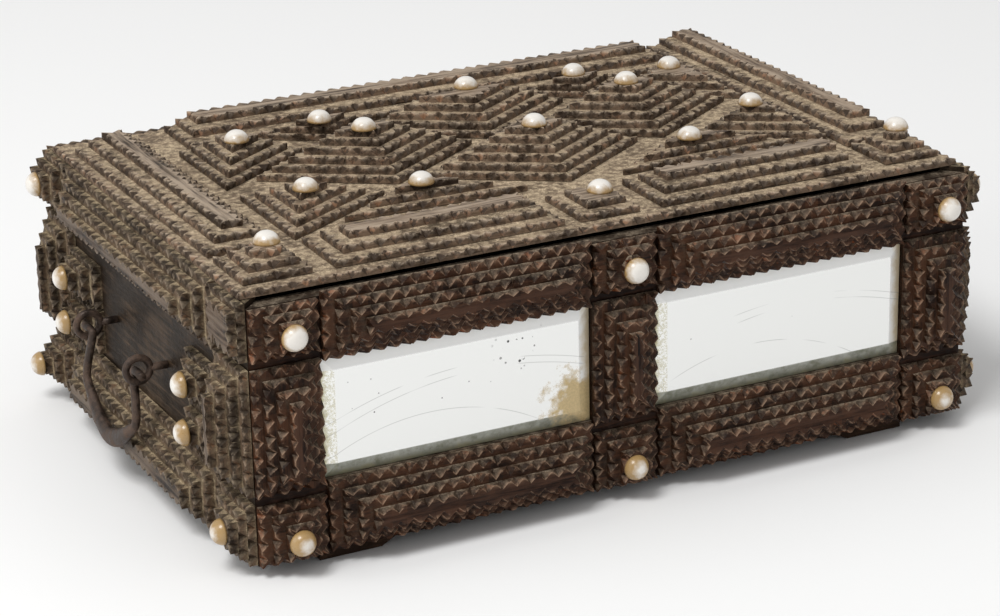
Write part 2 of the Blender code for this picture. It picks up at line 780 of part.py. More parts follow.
def make_back():
    board = rect(0.0, BOX_LENGTH, 0.0, BOX_HEIGHT)
    carved_board("back_board", BACK, board, [], [], PLAIN_WOOD)
    steps = [BACK_FRAME_STEP] * 4
    pieces = {
        "back_post_left": rect(0.0, POST_WIDTH, 0.0, BOX_HEIGHT),
        "back_post_right": rect(BOX_LENGTH - POST_WIDTH, BOX_LENGTH, 0.0, BOX_HEIGHT),
    }
    u0 = POST_WIDTH + BAND_SEAM
    u1 = BOX_LENGTH - POST_WIDTH - BAND_SEAM
    pieces["back_top_band"] = rect(u0, u1, TOP_BAND_BOTTOM, BOX_HEIGHT)
    pieces["back_bottom_band"] = rect(u0, u1, BOTTOM_BAND_BOTTOM, BOTTOM_BAND_TOP)
    for name, outline in pieces.items():
        layered_piece(
            name, BACK, outline, BACK_LAYER, steps, BACK_LAYERS, PLAIN_WOOD, carved=False
        )


def make_underside():
    inner = WALL + GAP
    block(
        "bottom_board",
        (inner, inner, 0.0),
        (BOX_LENGTH - inner, BOX_DEPTH - inner, BOTTOM_BOARD),
        PLAIN_WOOD,
    )
    u_left = (FOOT_FROM_END, FOOT_FROM_END + FOOT_LENGTH)
    u_right = (BOX_LENGTH - FOOT_FROM_END - FOOT_LENGTH, BOX_LENGTH - FOOT_FROM_END)
    v_front = (FOOT_FROM_EDGE, FOOT_FROM_EDGE + FOOT_DEPTH)
    v_back = (BOX_DEPTH - FOOT_FROM_EDGE - FOOT_DEPTH, BOX_DEPTH - FOOT_FROM_EDGE)
    feet = {
        "foot_front_left": (u_left, v_front, [0, FOOT_SLANT, 0, 0]),
        "foot_front_right": (u_right, v_front, [0, 0, 0, FOOT_SLANT]),
        "foot_back_left": (u_left, v_back, [0, FOOT_SLANT, 0, 0]),
        "foot_back_right": (u_right, v_back, [0, 0, 0, FOOT_SLANT]),
    }
    for name, (u_span, v_span, slant) in feet.items():
        outline = rect(*u_span, *v_span)
        foot = Carving(UNDER)
        top = foot.ring(outline, GAP)
        sole = foot.ring(shrink(outline, slant), GAP + FOOT_HEIGHT)
        foot.fill(top)
        foot.wall(top, sole)
        foot.fill(sole)
        foot.finish(name, DARK_WOOD)


def make_lid_border():
    left = BORDER_EDGE
    right = LID_LENGTH - BORDER_EDGE
    front = BORDER_FRONT
    back = LID_DEPTH - BORDER_EDGE
    board = Carving(LID_BACK)
    outline = rect(0.0, LID_LENGTH, 0.0, LID_DEPTH)
    board.fill(board.stack(outline, 0.0, LID_BOARD, [0.0] * 4, 1, carved=False))
    board.finish("lid_board", DUSTY_WOOD)

    strip_front = front + CORNER_DEPTH + STRIP_FRONT_SEAM
    right_strip_front = front + RIGHT_CORNER_DEPTH + RIGHT_STRIP_SEAM
    centre_right = CENTRE_BLOCK_LEFT + CENTRE_BLOCK_WIDTH
    right_column = right - RIGHT_STRIP_WIDTH
    strip_back = front + FRONT_STRIP_DEPTH
    back_strip_back = LID_DEPTH - BACK_STRIP_BACK_EDGE
    strips = {
        "lid_strip_left": (
            rect(left, left + STRIP_WIDTH, strip_front, LID_DEPTH - STRIP_BACK_EDGE),
            LEFT_STRIP_STEPS,
        ),
        "lid_strip_right": (
            rect(right_column, right, right_strip_front, LID_DEPTH - RIGHT_STRIP_BACK_EDGE),
            RIGHT_STRIP_STEPS,
        ),
        "lid_strip_back": (
            rect(
                BACK_STRIP_LEFT,
                LID_LENGTH - BACK_STRIP_RIGHT_EDGE,
                back_strip_back - BACK_STRIP_DEPTH,
                back_strip_back,
            ),
            BACK_STRIP_STEPS,
        ),
        "lid_strip_front_left": (
            rect(FRONT_STRIP_LEFT, CENTRE_BLOCK_LEFT - FRONT_STRIP_END_GAP, front, strip_back),
            FRONT_STRIP_STEPS,
        ),
        "lid_strip_front_right": (
            rect(
                centre_right + SECOND_STRIP_GAP,
                right_column - SECOND_STRIP_END_GAP,
                front,
                strip_back,
            ),
            SECOND_STRIP_STEPS,
        ),
    }
    for name, (outline, steps) in strips.items():
        layered_piece(name, LID, outline, LID_LAYER, steps, BORDER_LAYERS, DUSTY_WOOD)

    centre = rect(CENTRE_BLOCK_LEFT, centre_right, front, front + CENTRE_BLOCK_DEPTH)
    layered_piece(
        "lid_block_centre",
        LID,
        centre,
        LID_LAYER,
        CENTRE_BLOCK_STEPS,
        CENTRE_BLOCK_LAYERS,
        DUSTY_WOOD,
        tacked=True,
    )
    corners = {
        "lid_block_left": (
            rect(left, left + CORNER_WIDTH, front, front + CORNER_DEPTH),
            LEFT_BLOCK_STEPS,
        ),
        "lid_block_right": (
            rect(right_column, right, front, front + RIGHT_CORNER_DEPTH),
            RIGHT_BLOCK_STEPS,
        ),
    }
    for name, (outline, steps) in corners.items():
        layered_piece(
            name,
            LID,
            outline,
            LID_LAYER,
            steps,
            BORDER_LAYERS,
            DUSTY_WOOD,
            tacked=True,
            top_cut=OCTAGON_CUT,
        )


def field_outline(points):
    """Points of the pattern's drawing, stretched to the lid's field."""
    length = LID_LENGTH - FIELD_LEFT - FIELD_RIGHT_EDGE
    depth = LID_DEPTH - FIELD_FRONT - FIELD_BACK_EDGE
    return [
        Vector((FIELD_LEFT + x * length / PATTERN_LENGTH, FIELD_FRONT + y * depth / PATTERN_DEPTH))
        for x, y in points
    ]


def make_lid_field():
    a, b = DIAMOND_HALF
    for name, (x, y) in DIAMOND_CENTRES.items():
        outline = field_outline([(x, y - b), (x + a, y), (x, y + b), (x - a, y)])
        steps = [FIELD_STEP] * len(outline)
        layered_piece(name, LID, outline, LID_LAYER, steps, DIAMOND_LAYERS, DUSTY_WOOD, tacked=True)
    x, y = BACK_DIAMOND_CENTRE
    cut = a * (1 - (PATTERN_DEPTH - y) / b)
    back_diamond = [
        (x, y - b),
        (x + a, y),
        (x + cut, PATTERN_DEPTH),
        (x - cut, PATTERN_DEPTH),
        (x - a, y),
    ]
    pieces = {"lid_diamond_back": (back_diamond, BACK_DIAMOND_LAYERS, FIELD_STEP)}
    pieces.update(FIELD_PIECES)
    for name, (points, count, step) in pieces.items():
        outline = field_outline(points)
        steps = [step] * len(outline)
        layered_piece(name, LID, outline, LID_LAYER, steps, count, DUSTY_WOOD, tacked=True)


for old in list(bpy.data.objects):
    bpy.data.objects.remove(old, do_unlink=True)
box_collection = bpy.data.collections.new("tramp_art_box")
cutter_collection = bpy.data.collections.new("cutters")
bpy.context.scene.collection.children.link(box_collection)
bpy.context.scene.collection.children.link(cutter_collection)

make_front()
make_mirrors()
make_side("left", LEFT, worn=True, carved=True)
make_side("right", RIGHT, worn=False, carved=False)
make_handle("left", LEFT)
make_handle("right", RIGHT)
make_back()
make_underside()
make_lid_border()
make_lid_field()
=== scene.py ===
"""Tramp art box: the looks of its notched layers, pearly tacks, mirrors and iron handles.

Lengths are metres. X runs along the front, Y to the back, Z up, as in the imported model.
"""
import math
from functools import partialmethod

import bpy
import numpy as np
from mathutils import Matrix, Vector


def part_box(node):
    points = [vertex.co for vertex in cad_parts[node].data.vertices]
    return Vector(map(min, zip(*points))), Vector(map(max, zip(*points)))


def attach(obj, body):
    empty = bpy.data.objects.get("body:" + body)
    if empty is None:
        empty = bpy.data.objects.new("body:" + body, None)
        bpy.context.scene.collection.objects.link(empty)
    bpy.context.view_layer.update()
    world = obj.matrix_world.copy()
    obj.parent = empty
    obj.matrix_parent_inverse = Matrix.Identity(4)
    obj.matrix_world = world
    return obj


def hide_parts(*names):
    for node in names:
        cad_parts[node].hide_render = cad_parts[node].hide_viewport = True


bl_info = {
    "name": "Tramp Art Box",
    "version": (1, 0, 0),
    "blender": (4, 5, 0),
    "location": "View3D > Sidebar > Tramp Art Box",
    "description": "Builds the carved wood, tacks, mirrors and handles of a tramp art box",
    "category": "Object",
}

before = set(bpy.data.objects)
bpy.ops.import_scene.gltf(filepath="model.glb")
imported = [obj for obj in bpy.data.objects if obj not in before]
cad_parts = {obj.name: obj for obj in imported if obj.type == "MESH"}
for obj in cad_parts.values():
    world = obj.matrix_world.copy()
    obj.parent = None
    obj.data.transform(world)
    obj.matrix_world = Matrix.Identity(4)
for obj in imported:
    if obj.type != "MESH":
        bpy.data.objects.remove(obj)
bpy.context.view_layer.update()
MM = 0.001
SEED = 1890

# The lid's board from the carcass's front left corner, and how much layers sink into one another
LID_SHIFT = (-0.7 * MM, 4.6 * MM)
SUNK = 0.15 * MM
BOARD_SUNK = 0.1 * MM

# How much notches differ by hand, as shares of their own sizes at full unevenness
PLACE_SPREAD = 0.12
WIDTH_SPREAD = 0.16
DEPTH_SPREAD = 0.3
FOOT_SPREAD = 0.22
BROKEN = 0.05
# What a notch may take of a layer's room and of the room that the corners leave, and what the
# flat inside the notches may take of both
ROOM_TAKEN = 0.75
CORNER_TAKEN = 0.7
FLAT_TAKEN = 0.9
CLEARANCE = 1.35


def length(default, description):
    """A length that a user may change."""
    return bpy.props.FloatProperty(
        default=default, description=description, min=0.0, unit="LENGTH", precision=5
    )


def tint(default, description):
    """A linear colour that a user may change."""
    return bpy.props.FloatVectorProperty(
        default=default, description=description, size=3, min=0.0, max=1.0, subtype="COLOR"
    )


def share(default, description):
    """A number from none to all."""
    return bpy.props.FloatProperty(
        default=default, description=description, min=0.0, max=1.0, subtype="FACTOR"
    )


class BoxSizes(bpy.types.PropertyGroup):
    """Sizes of the box's carcass and of what is built up on it."""

    box_length: length(0.315, "Length of the carcass along the front")
    box_depth: length(0.217, "Depth of the carcass from front to back")
    box_height: length(0.105, "Height of the carcass without lid and feet")
    wall: length(0.007, "Thickness of the carcass boards")
    gap: length(0.0003, "Room between pieces that touch")
    foot_height: length(0.0043, "Height of the feet")
    front_layer: length(0.003, "Thickness of one layer on the front")
    side_layer: length(0.0033, "Thickness of one layer on the sides")
    lid_layer: length(0.0027, "Thickness of one layer on the lid")
    back_layer: length(0.003, "Thickness of one layer on the back")
    lid_board: length(0.0023, "Thickness of the lid's board")
    tack_radius: length(0.00525, "Radius of a tack's head")
    tack_height: length(0.0045, "Height of a tack's head")


class NotchSizes(bpy.types.PropertyGroup):
    """Sizes of the notches that are cut along the layers' edges."""

    pitch: length(0.006, "Distance from one notch to the next")
    depth: length(0.0031, "How far a notch reaches into a layer's upper face")
    half_width: share(0.46, "Half a notch's mouth as a share of the pitch")
    unevenness: share(0.5, "How much the hand-cut notches differ")
    wear: length(0.0003, "How far the points between notches are worn back")


class WoodFinish(bpy.types.PropertyGroup):
    """Colours of one side's wood and how much dust lies on it; the defaults are the front's."""

    dark: tint((0.010, 0.0038, 0.0020), "Stained wood in the dark of its grain")
    light: tint((0.062, 0.025, 0.012), "Stained wood in the light of its grain")
    cut: tint((0.17, 0.045, 0.012), "Wood that shows in some of the notches")
    # Partly wear, partly painted highlight: the points between notches are lightened toward this colour, both
    # as bare worn wood and as the highlights on their edges.
    edge: tint((0.34, 0.215, 0.140), "Wood rubbed bare on the points between notches")
    # Partly a dull old coat, partly painted sheen: the upper faces are mixed toward this colour to stand in
    # for the sheen that light leaves on them.
    wax: tint((0.070, 0.040, 0.028), "Dull old polish on the upper faces")
    dust: tint((0.40, 0.325, 0.235), "Dust in the hollows")
    on_top: share(0.9, "How much dust lies on surfaces that face up")
    dusting: share(0.10, "How much dust clings in the hollows")
    # Painted shade: how far the notch facets are darkened toward the dark wood colour, standing in for the
    # shade that falls in the notches.
    painted_notch_shade: share(0.55, "How much darker the wood in the notches is")
    cut_dust: share(0.6, "Share of the dust that lies in the notches too")
    # Also sets how much painted highlight the points get.
    rubbed: share(0.8, "How much the points are rubbed bare")
    # Also sets how much painted sheen the upper faces get.
    waxed: share(0.4, "How much dull polish shows on the upper faces")
    sheen: share(0.30, "Roughness where the wood is bare")


class TackFinish(bpy.types.PropertyGroup):
    """Colours of the tacks' heads."""

    pearl: tint((0.80, 0.76, 0.70), "White of the tack heads")
    stain: tint((0.34, 0.195, 0.045), "Stain round the foot of the tack heads")


class MirrorFinish(bpy.types.PropertyGroup):
    """Colours of the two mirrors."""

    silver: tint((0.85, 0.855, 0.84), "Silvered glass")
    # Painted reflection: the top and right bevels are painted near white and made less metallic to stand in
    # for the bright reflection they catch.
    bevel: tint((0.98, 0.98, 0.96), "Bevels at the top and the right")
    # Painted reflection: the bottom bevel is painted dark olive and made less metallic to stand in for its
    # dark reflection.
    foot: tint((0.165, 0.170, 0.115), "Bevel at the bottom")
    edge_stain: tint((0.42, 0.36, 0.14), "Stain that creeps in from the edges")
    patch: tint((0.62, 0.47, 0.24), "Patch where the silver is lost")
    mottle: tint((0.62, 0.56, 0.30), "Specks in the bevel at the left")
    scratch: tint((0.30, 0.30, 0.29), "Fine scratches")
    speck: tint((0.02, 0.02, 0.02), "Dark specks")
    browning: share(0.75, "How brown the edge at the right is")


class IronFinish(bpy.types.PropertyGroup):
    """Colours of the handles' iron."""

    iron: tint((0.050, 0.036, 0.029), "Dark iron")
    rust: tint((0.135, 0.082, 0.055), "Rust and dust on the iron")


class StudioSettings(bpy.types.PropertyGroup):
    """Floor, lights and camera."""

    floor: tint((0.90, 0.90, 0.895), "Colour of the floor")
    key: bpy.props.FloatProperty(default=48.0, min=0.0, unit="POWER", description="Soft light above")
    fill: bpy.props.FloatProperty(default=3.0, min=0.0, unit="POWER", description="Light from the left")
    world: bpy.props.FloatProperty(default=0.6, min=0.0, description="Strength of the even light")


class Face:
    """A plane that pieces lie on: u and v run along it and w stands out of it."""

    def __init__(self, origin, u, v, w):
        self.origin = np.array(origin, float)
        self.axes = np.array([u, v, w], float)
        self.turned = np.linalg.det(self.axes) < 0

    def place(self, points):
        """Origin plus u, v and w times the point's three numbers."""
        return self.origin + np.asarray(points, float) @ self.axes


def corner(sizes):
    """Lower front left corner of the carcass; the box's outer limits are centred on the origin."""
    front_reach = max(3 * sizes.front_layer + sizes.tack_height, 4 * sizes.front_layer)
    back_reach = 2 * sizes.back_layer
    y = -(sizes.box_depth + back_reach - front_reach) / 2
    return np.array((-sizes.box_length / 2, y, sizes.gap + sizes.foot_height))


def faces(sizes):
    """The planes that the stacks lie on."""
    low = corner(sizes)
    lid = low + np.array((*LID_SHIFT, sizes.box_height + sizes.gap))
    return {
        "front": Face(low, (1, 0, 0), (0, 0, 1), (0, -1, 0)),
        "back": Face(low + (0, sizes.box_depth, 0), (1, 0, 0), (0, 0, 1), (0, 1, 0)),
        "left": Face(low, (0, 1, 0), (0, 0, 1), (-1, 0, 0)),
        "right": Face(low + (sizes.box_length, 0, 0), (0, 1, 0), (0, 0, 1), (1, 0, 0)),
        "lid_back": Face(lid, (1, 0, 0), (0, 1, 0), (0, 0, 1)),
        "lid": Face(lid + (0, 0, sizes.lid_board), (1, 0, 0), (0, 1, 0), (0, 0, 1)),
    }


def rect(u0, u1, v0, v1):
    """Corners of a rectangle in millimetres; its edges run low v, high u, high v, low u."""
    return np.array([(u0, v0), (u1, v0), (u1, v1), (u0, v1)], float) * MM


def cross(a, b):
    """Cross product of plane vectors, row by row."""
    return a[..., 0] * b[..., 1] - a[..., 1] * b[..., 0]


def edge_frames(outline):
    """Each edge's length, unit direction and unit normal, which is the direction turned left."""
    run = np.roll(outline, -1, 0) - outline
    lengths = np.linalg.norm(run, axis=1)
    along = run / lengths[:, None]
    inward = np.stack((-along[:, 1], along[:, 0]), 1)
    return lengths, along, inward


def inset(outline, steps):
    """Outline whose edges are moved inward by their steps: neighbours' lines are intersected."""
    _, along, inward = edge_frames(outline)
    start = outline + inward * np.asarray(steps, float)[:, None]
    before, way = np.roll(start, 1, 0), np.roll(along, 1, 0)
    reach = cross(start - before, along) / cross(way, along)
    return before + way * reach[:, None]


def nested(outline, steps, count):
    """Outlines of a stack's layers; the steps narrow together where the piece is narrow."""
    scale = 1.0
    whole = np.roll(outline, -1, 0) - outline
    while True:
        outlines = [outline]
        for _ in range(count - 1):
            outlines.append(inset(outlines[-1], scale * np.asarray(steps, float)))
        left = [np.roll(o, -1, 0) - o for o in outlines]
        if all(np.all(np.sum(whole * e, 1) > 0.02 * np.sum(whole ** 2, 1)) for e in left):
            return outlines
        scale *= 0.95


def cut_corners(outline, cut):
    """Each corner becomes two, the cut away from it along its edges."""
    back = np.roll(outline, 1, 0) - outline
    ahead = np.roll(outline, -1, 0) - outline
    first = outline + back * np.minimum(cut / np.linalg.norm(back, axis=1), 0.3)[:, None]
    second = outline + ahead * np.minimum(cut / np.linalg.norm(ahead, axis=1), 0.3)[:, None]
    return np.stack((first, second), 1).reshape(-1, 2)


class Surface:
    """Gathers points, faces and the attributes that the materials read."""

    POINT_VALUES = ("hollow", "arris")
    FACE_VALUES = ("cut", "crown", "tone")

    def __init__(self):
        self.points, self.grain, self.faces = [], [], []
        self.values = {name: [] for name in self.POINT_VALUES + self.FACE_VALUES}
        self.count = 0

    def add(self, points, faces, grain, turned=False, **values):
        """Join a patch on: faces index its own points; a turned patch has its faces reversed."""
        points = np.asarray(points, float).reshape(-1, 3)
        shift = self.count
        for group in faces:
            order = np.asarray(group)
            order = order[:, ::-1] if turned else order
            self.faces.extend((order + shift).tolist())
        face_count = sum(len(group) for group in faces)
        self.points.append(points)
        self.grain.append(np.broadcast_to(grain, points.shape))
        self.count += len(points)
        for name in self.POINT_VALUES:
            self.values[name].append(np.broadcast_to(values.get(name, 0.0), len(points)))
        for name in self.FACE_VALUES:
            self.values[name].append(np.broadcast_to(values.get(name, 0.0), face_count))

    def piece(self, name, material, body="root", slot=None, replaces=(), smooth=False):
        """The gathered surface as a piece that rides on its body."""
        mesh = bpy.data.meshes.new(name)
        mesh.from_pydata(np.concatenate(self.points).tolist(), [], self.faces)
        grain = mesh.attributes.new("grain", "FLOAT_VECTOR", "POINT")
        grain.data.foreach_set("vector", np.concatenate(self.grain).astype(np.float32).ravel())
        for value, parts in self.values.items():
            layer = mesh.attributes.new(value, "FLOAT", "POINT" if value in self.POINT_VALUES else "FACE")
            layer.data.foreach_set("value", np.concatenate(parts).astype(np.float32))
        mesh.validate()
        if smooth:
            mesh.shade_smooth()
        piece = bpy.data.objects.new(name, mesh)
        bpy.context.scene.collection.objects.link(piece)
        mesh.materials.append(material)
        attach(piece, body)
        if replaces:
            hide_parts(*replaces)


def grid_faces(rows, columns, close_rows=False, close_columns=False):
    """Quads of a grid whose point (i, j) has the number i * columns + j."""
    i = np.arange(rows if close_rows else rows - 1)
    j = np.arange(columns if close_columns else columns - 1)
    i, j = [g.ravel() for g in np.meshgrid(i, j, indexing="ij")]
    down, right = (i + 1) % rows, (j + 1) % columns
    return np.stack((i * columns + j, i * columns + right, down * columns + right, down * columns + j), 1)


def notched_slab(surface, face, outline, low, high, rooms, notch, rng, grain_axis, crown):
    """One layer with V notches cut across its upper edge.

    Along each edge notch k has its middle at (k + 1/2) of the pitch and a mouth of half width h.
    Its two facets meet in a line from the point at depth d in the upper face to the foot on the
    riser. The inner ring follows the edge at a depth that clears every notch; inside it the
    upper face is flat.
    """
    lengths, along, inward = edge_frames(outline)
    numbers = np.maximum(1, np.rint(lengths / notch.pitch)).astype(int)
    edge = np.repeat(np.arange(len(outline)), numbers)
    first = np.concatenate(([0], np.cumsum(numbers)[:-1]))
    k = np.arange(len(edge)) - first[edge]
    pitch = lengths[edge] / numbers[edge]
    loose = notch.unevenness
    middle = (k + 0.5 + PLACE_SPREAD * loose * rng.uniform(-1, 1, len(edge))) * pitch
    half = pitch * notch.half_width * (1 - WIDTH_SPREAD * loose * rng.uniform(0, 1, len(edge)))

    turn = np.arccos(np.clip(np.sum(np.roll(along, 1, 0) * along, 1), -1, 1))
    open_half = (math.pi - turn) / 2
    before = np.tan(open_half)[edge]
    after = np.tan(np.roll(open_half, -1))[edge]
    room = np.minimum(middle * before, (lengths[edge] - middle) * after)
    uneven = 1 + DEPTH_SPREAD * loose * rng.uniform(-1, 0.6, len(edge))
    depth = np.minimum(notch.depth * uneven, ROOM_TAKEN * rooms[edge])
    depth = np.minimum(depth, CORNER_TAKEN * room)
    clear = np.minimum(CLEARANCE * notch.depth, FLAT_TAKEN * rooms[edge])
    inner = np.minimum(clear, FLAT_TAKEN * room)
    foot = low + (high - low) * FOOT_SPREAD * loose * rng.uniform(0, 1, len(edge)) ** 2

    def at(distance, deep, level):
        flat = outline[edge] + along[edge] * distance[:, None] + inward[edge] * np.asarray(deep)[:, None]
        return np.concatenate((flat, np.full((len(edge), 1), 1.0) * np.reshape(level, (-1, 1))), 1)

    zero = np.zeros(len(edge))
    is_last = k == numbers[edge] - 1
    tooth = np.where(is_last, lengths[edge], (middle + half + np.roll(middle, -1) - np.roll(half, -1)) / 2)
    worn = notch.wear * rng.uniform(0, 1, len(edge)) ** 2
    broken = rng.uniform(0, 1, len(edge)) < BROKEN * loose
    worn = np.where(broken, notch.depth * rng.uniform(0.2, 0.5, len(edge)), worn)
    worn = np.where(is_last, 0.5 * worn, worn)
    step_in = np.roll(inward, -1, 0)[edge]
    gap_room = np.minimum(tooth * before, (lengths[edge] - tooth) * after)
    gap_inner = np.where(is_last, 0.0, np.minimum(clear, FLAT_TAKEN * gap_room))

    high_gap = at(tooth, worn, high)
    high_gap[:, :2] += np.where(is_last, worn, 0.0)[:, None] * step_in
    high_gap[:, 2] -= 0.5 * worn
    inner_gap = at(tooth, gap_inner, high)
    diagonal = inset(outline, np.ones(len(outline))) - outline
    nearest = np.minimum(np.roll(room[np.cumsum(numbers) - 1], 1), room[first])
    inner_corner = outline + diagonal * (0.5 * nearest)[:, None]
    inner_gap[is_last, :2] = np.roll(inner_corner, -1, 0)

    left, right = middle - half, middle + half
    riser = [at(distance, zero, low) for distance in (left, middle, right, tooth)]
    upper = [at(left, zero, high), at(middle, depth, high), at(right, zero, high), high_gap]
    points = np.stack((*riser, *upper, at(middle, zero, foot), at(middle, inner, high), inner_gap), 1)
    count, width = points.shape[:2]
    # Corners of one notch's faces; with the width added or taken off, of the next or the last notch
    corners = (
        (0, 1, 8), (0, 8, 4), (1, 2, 8), (2, 6, 8), (2, 3, 7, 6), (3, width, width + 4, 7),
        (4, 8, 5), (8, 6, 5), (7 - width, 4, 9, 10 - width), (4, 5, 9), (5, 6, 9), (6, 7, 10, 9),
    )
    here = np.arange(count)[:, None] * width
    groups = [(here + np.array(c)) % (count * width) for c in corners]
    groups.append((here + np.array([9, 10])).reshape(1, -1))
    groups.append((here + np.array([0, 1, 2, 3])).reshape(1, -1)[:, ::-1])
    cut_groups, top_groups = (6, 7), (8, 9, 10, 11, 12)
    cut = np.concatenate([np.full(len(g), float(i in cut_groups)) for i, g in enumerate(groups)])
    top = np.concatenate([np.full(len(g), float(crown and i in top_groups)) for i, g in enumerate(groups)])
    inside = 0.0 if crown else 1.0
    arris = np.tile([0, 0, 0, 0, 1, 1, 1, 1, 0, 0, 0], count)
    hollow = np.tile([1, 1, 1, 1, 0, 0, 0, 0, 0.8, inside, inside], count)
    flat = points.reshape(-1, 3)
    grain = (flat if grain_axis == 0 else flat[:, [1, 0, 2]]) + rng.uniform(0, 3, 3)
    own = rng.uniform(0, 1, count)
    tone = np.concatenate([own if len(g) == count else own.mean() * np.ones(len(g)) for g in groups])
    tone = 0.65 * tone + 0.35 * rng.uniform(0, 1)
    values = {"cut": cut, "crown": top, "tone": tone, "arris": arris, "hollow": hollow}
    surface.add(face.place(flat), groups, grain, face.turned, **values)


def dome(surface, face, centre, level, radius, height):
    """Tack head on a round foot: at the distance r from its axis it is H (1 - (r / R) ** 2.4) ** 0.6 high."""
    around, steps = 32, 9
    r = np.sin(np.linspace(0, math.pi / 2, steps)) * radius
    rise = height * (1 - (r / radius) ** 2.4) ** 0.6
    angle = np.arange(around) * 2 * math.pi / around
    circle = np.stack((np.cos(angle), np.sin(angle)), 1)
    flat = centre + r[1:, None, None] * circle
    rings = np.concatenate((flat, np.broadcast_to(level + rise[1:, None, None], flat.shape[:2] + (1,))), 2)
    under = centre + 0.55 * (rings[-1, :, :2] - centre)
    under = np.column_stack((under, np.full(around, level - BOARD_SUNK)))
    rings = np.concatenate((rings, under[None]))
    points = np.concatenate((rings.reshape(-1, 3), [(*centre, level + height)]))
    number = np.arange(around)
    cap = np.stack((number, (number + 1) % around, np.full(around, len(points) - 1)), 1)
    walls = grid_faces(steps, around, close_columns=True)[:, ::-1]
    foot = ((steps - 1) * around + number)[None, ::-1]
    rim = np.concatenate((np.repeat(np.linspace(0.1, 1, steps - 1), around), np.ones(around), [0]))
    surface.add(face.place(points), [cap, walls, foot], face.place(points), face.turned, hollow=rim)


def tube(surface, path, across, thick, wide, around=16):
    """Profile carried along a path: an ellipse of half sizes thick and wide, wide lying along across."""
    path, across = np.asarray(path, float), np.asarray(across, float)
    run = np.gradient(path, axis=0)
    run /= np.linalg.norm(run, axis=1)[:, None]
    side = across - run * (run @ across)[:, None]
    side /= np.linalg.norm(side, axis=1)[:, None]
    up = np.cross(run, side)
    angle = np.arange(around) * 2 * math.pi / around
    ring = side[:, None] * (np.cos(angle) * np.reshape(wide, (-1, 1)))[:, :, None]
    ring = ring + up[:, None] * (np.sin(angle) * np.reshape(thick, (-1, 1)))[:, :, None]
    points = (path[:, None] + ring).reshape(-1, 3)
    number = np.arange(around)
    ends = [number[None, :], ((len(path) - 1) * around + number)[None, ::-1]]
    surface.add(points, [grid_faces(len(path), around, close_columns=True)[:, ::-1], *ends], points)


def smooth_route(points, steps):
    """Smooth curve through the points: cubic pieces whose slope at a point is half its neighbours' chord."""
    p = np.asarray(points, float)
    padded = np.concatenate((p[:1], p, p[-1:]))
    t = (np.arange(steps) / steps)[None, :, None]
    p0, p1, p2, p3 = [padded[i:i + len(p) - 1][:, None] for i in range(4)]
    bend = (p2 - p0) * t + (2 * p0 - 5 * p1 + 4 * p2 - p3) * t ** 2 + (3 * p1 - p0 - 3 * p2 + p3) * t ** 3
    return np.concatenate(((p1 + 0.5 * bend).reshape(-1, p.shape[1]), p[-1:]))


class Nodes:
    """Short names for making a material's nodes."""

    def __init__(self, name):
        self.material = bpy.data.materials.new(name)
        self.material.use_nodes = True
        self.tree = self.material.node_tree
        self.place = self.node("ShaderNodeTexCoord", "Object")

    def set(self, socket, value):
        """Link an output to the socket, or give it a plain number or colour."""
        if isinstance(value, bpy.types.NodeSocket):
            self.tree.links.new(value, socket)
        else:
            socket.default_value = (*value, 1.0) if socket.type == "RGBA" else value

    def node(self, kind, output=0, inputs=(), **settings):
        """One output of a new node; its inputs are given by number or name."""
        made = self.tree.nodes.new(kind)
        for key, value in settings.items():
            setattr(made, key, value)
        for key, value in dict(inputs).items():
            self.set(made.inputs[key], value)
        return made.outputs[output]

    def attribute(self, name, output="Fac"):
        return self.node("ShaderNodeAttribute", output, attribute_name=name)

    def math(self, operation, first, *others):
        """The operation on the first two values, then on its result and each further value."""
        for value in others or (0.0,):
            first = self.node("ShaderNodeMath", 0, {0: first, 1: value}, operation=operation)
        return first

    plus = partialmethod(math, "ADD")
    minus = partialmethod(math, "SUBTRACT")
    times = partialmethod(math, "MULTIPLY")
    least = partialmethod(math, "MINIMUM")
    most = partialmethod(math, "MAXIMUM")

    def vector(self, operation, a, b=(0.0, 0.0, 0.0), output=0):
        return self.node("ShaderNodeVectorMath", output, {0: a, 1: b}, operation=operation)

    def distance(self, point):
        return self.vector("DISTANCE", self.place, point, "Value")

    def split(self, vector):
        """X, Y and Z of a vector."""
        made = self.tree.nodes.new("ShaderNodeSeparateXYZ")
        self.set(made.inputs[0], vector)
        return tuple(made.outputs)

    def mix(self, factor, a, b):
        """Colour a, and colour b where the factor is 1."""
        return self.node("ShaderNodeMix", 2, {0: factor, 6: a, 7: b}, data_type="RGBA")

    def noise(self, vector, scale, detail, rough=0.55, output=0):
        inputs = {"Vector": vector, "Scale": scale, "Detail": detail, "Roughness": rough}
        return self.node("ShaderNodeTexNoise", output, inputs)

    def stretched(self, vector, shrink):
        """The vector with its first number shrunk, which stretches a pattern along it."""
        return self.node("ShaderNodeMapping", 0, {"Vector": vector, "Scale": (shrink, 1.0, 1.0)})

    def cells(self, scale):
        """Distance to the nearest of many scattered points."""
        return self.node("ShaderNodeTexVoronoi", 0, {"Vector": self.place, "Scale": scale})

    def spread(self, value, low, high, to_low=0.0, to_high=1.0):
        """Value from low to high spread over to_low to to_high, and cut off outside."""
        return self.node("ShaderNodeMapRange", 0, {0: value, 1: low, 2: high, 3: to_low, 4: to_high})

    def bump(self, height, distance, strength):
        return self.node("ShaderNodeBump", 0, {"Height": height, "Distance": distance, "Strength": strength})

    def finish(self, **inputs):
        """Set the shader's inputs; returns the material."""
        shader = self.tree.nodes["Principled BSDF"]
        for key, value in inputs.items():
            self.set(shader.inputs[key.replace("_", " ")], value)
        return self.material


def dimmed(colour, left):
    """The colour times the share that is left of it."""
    return tuple(left * c for c in colour)


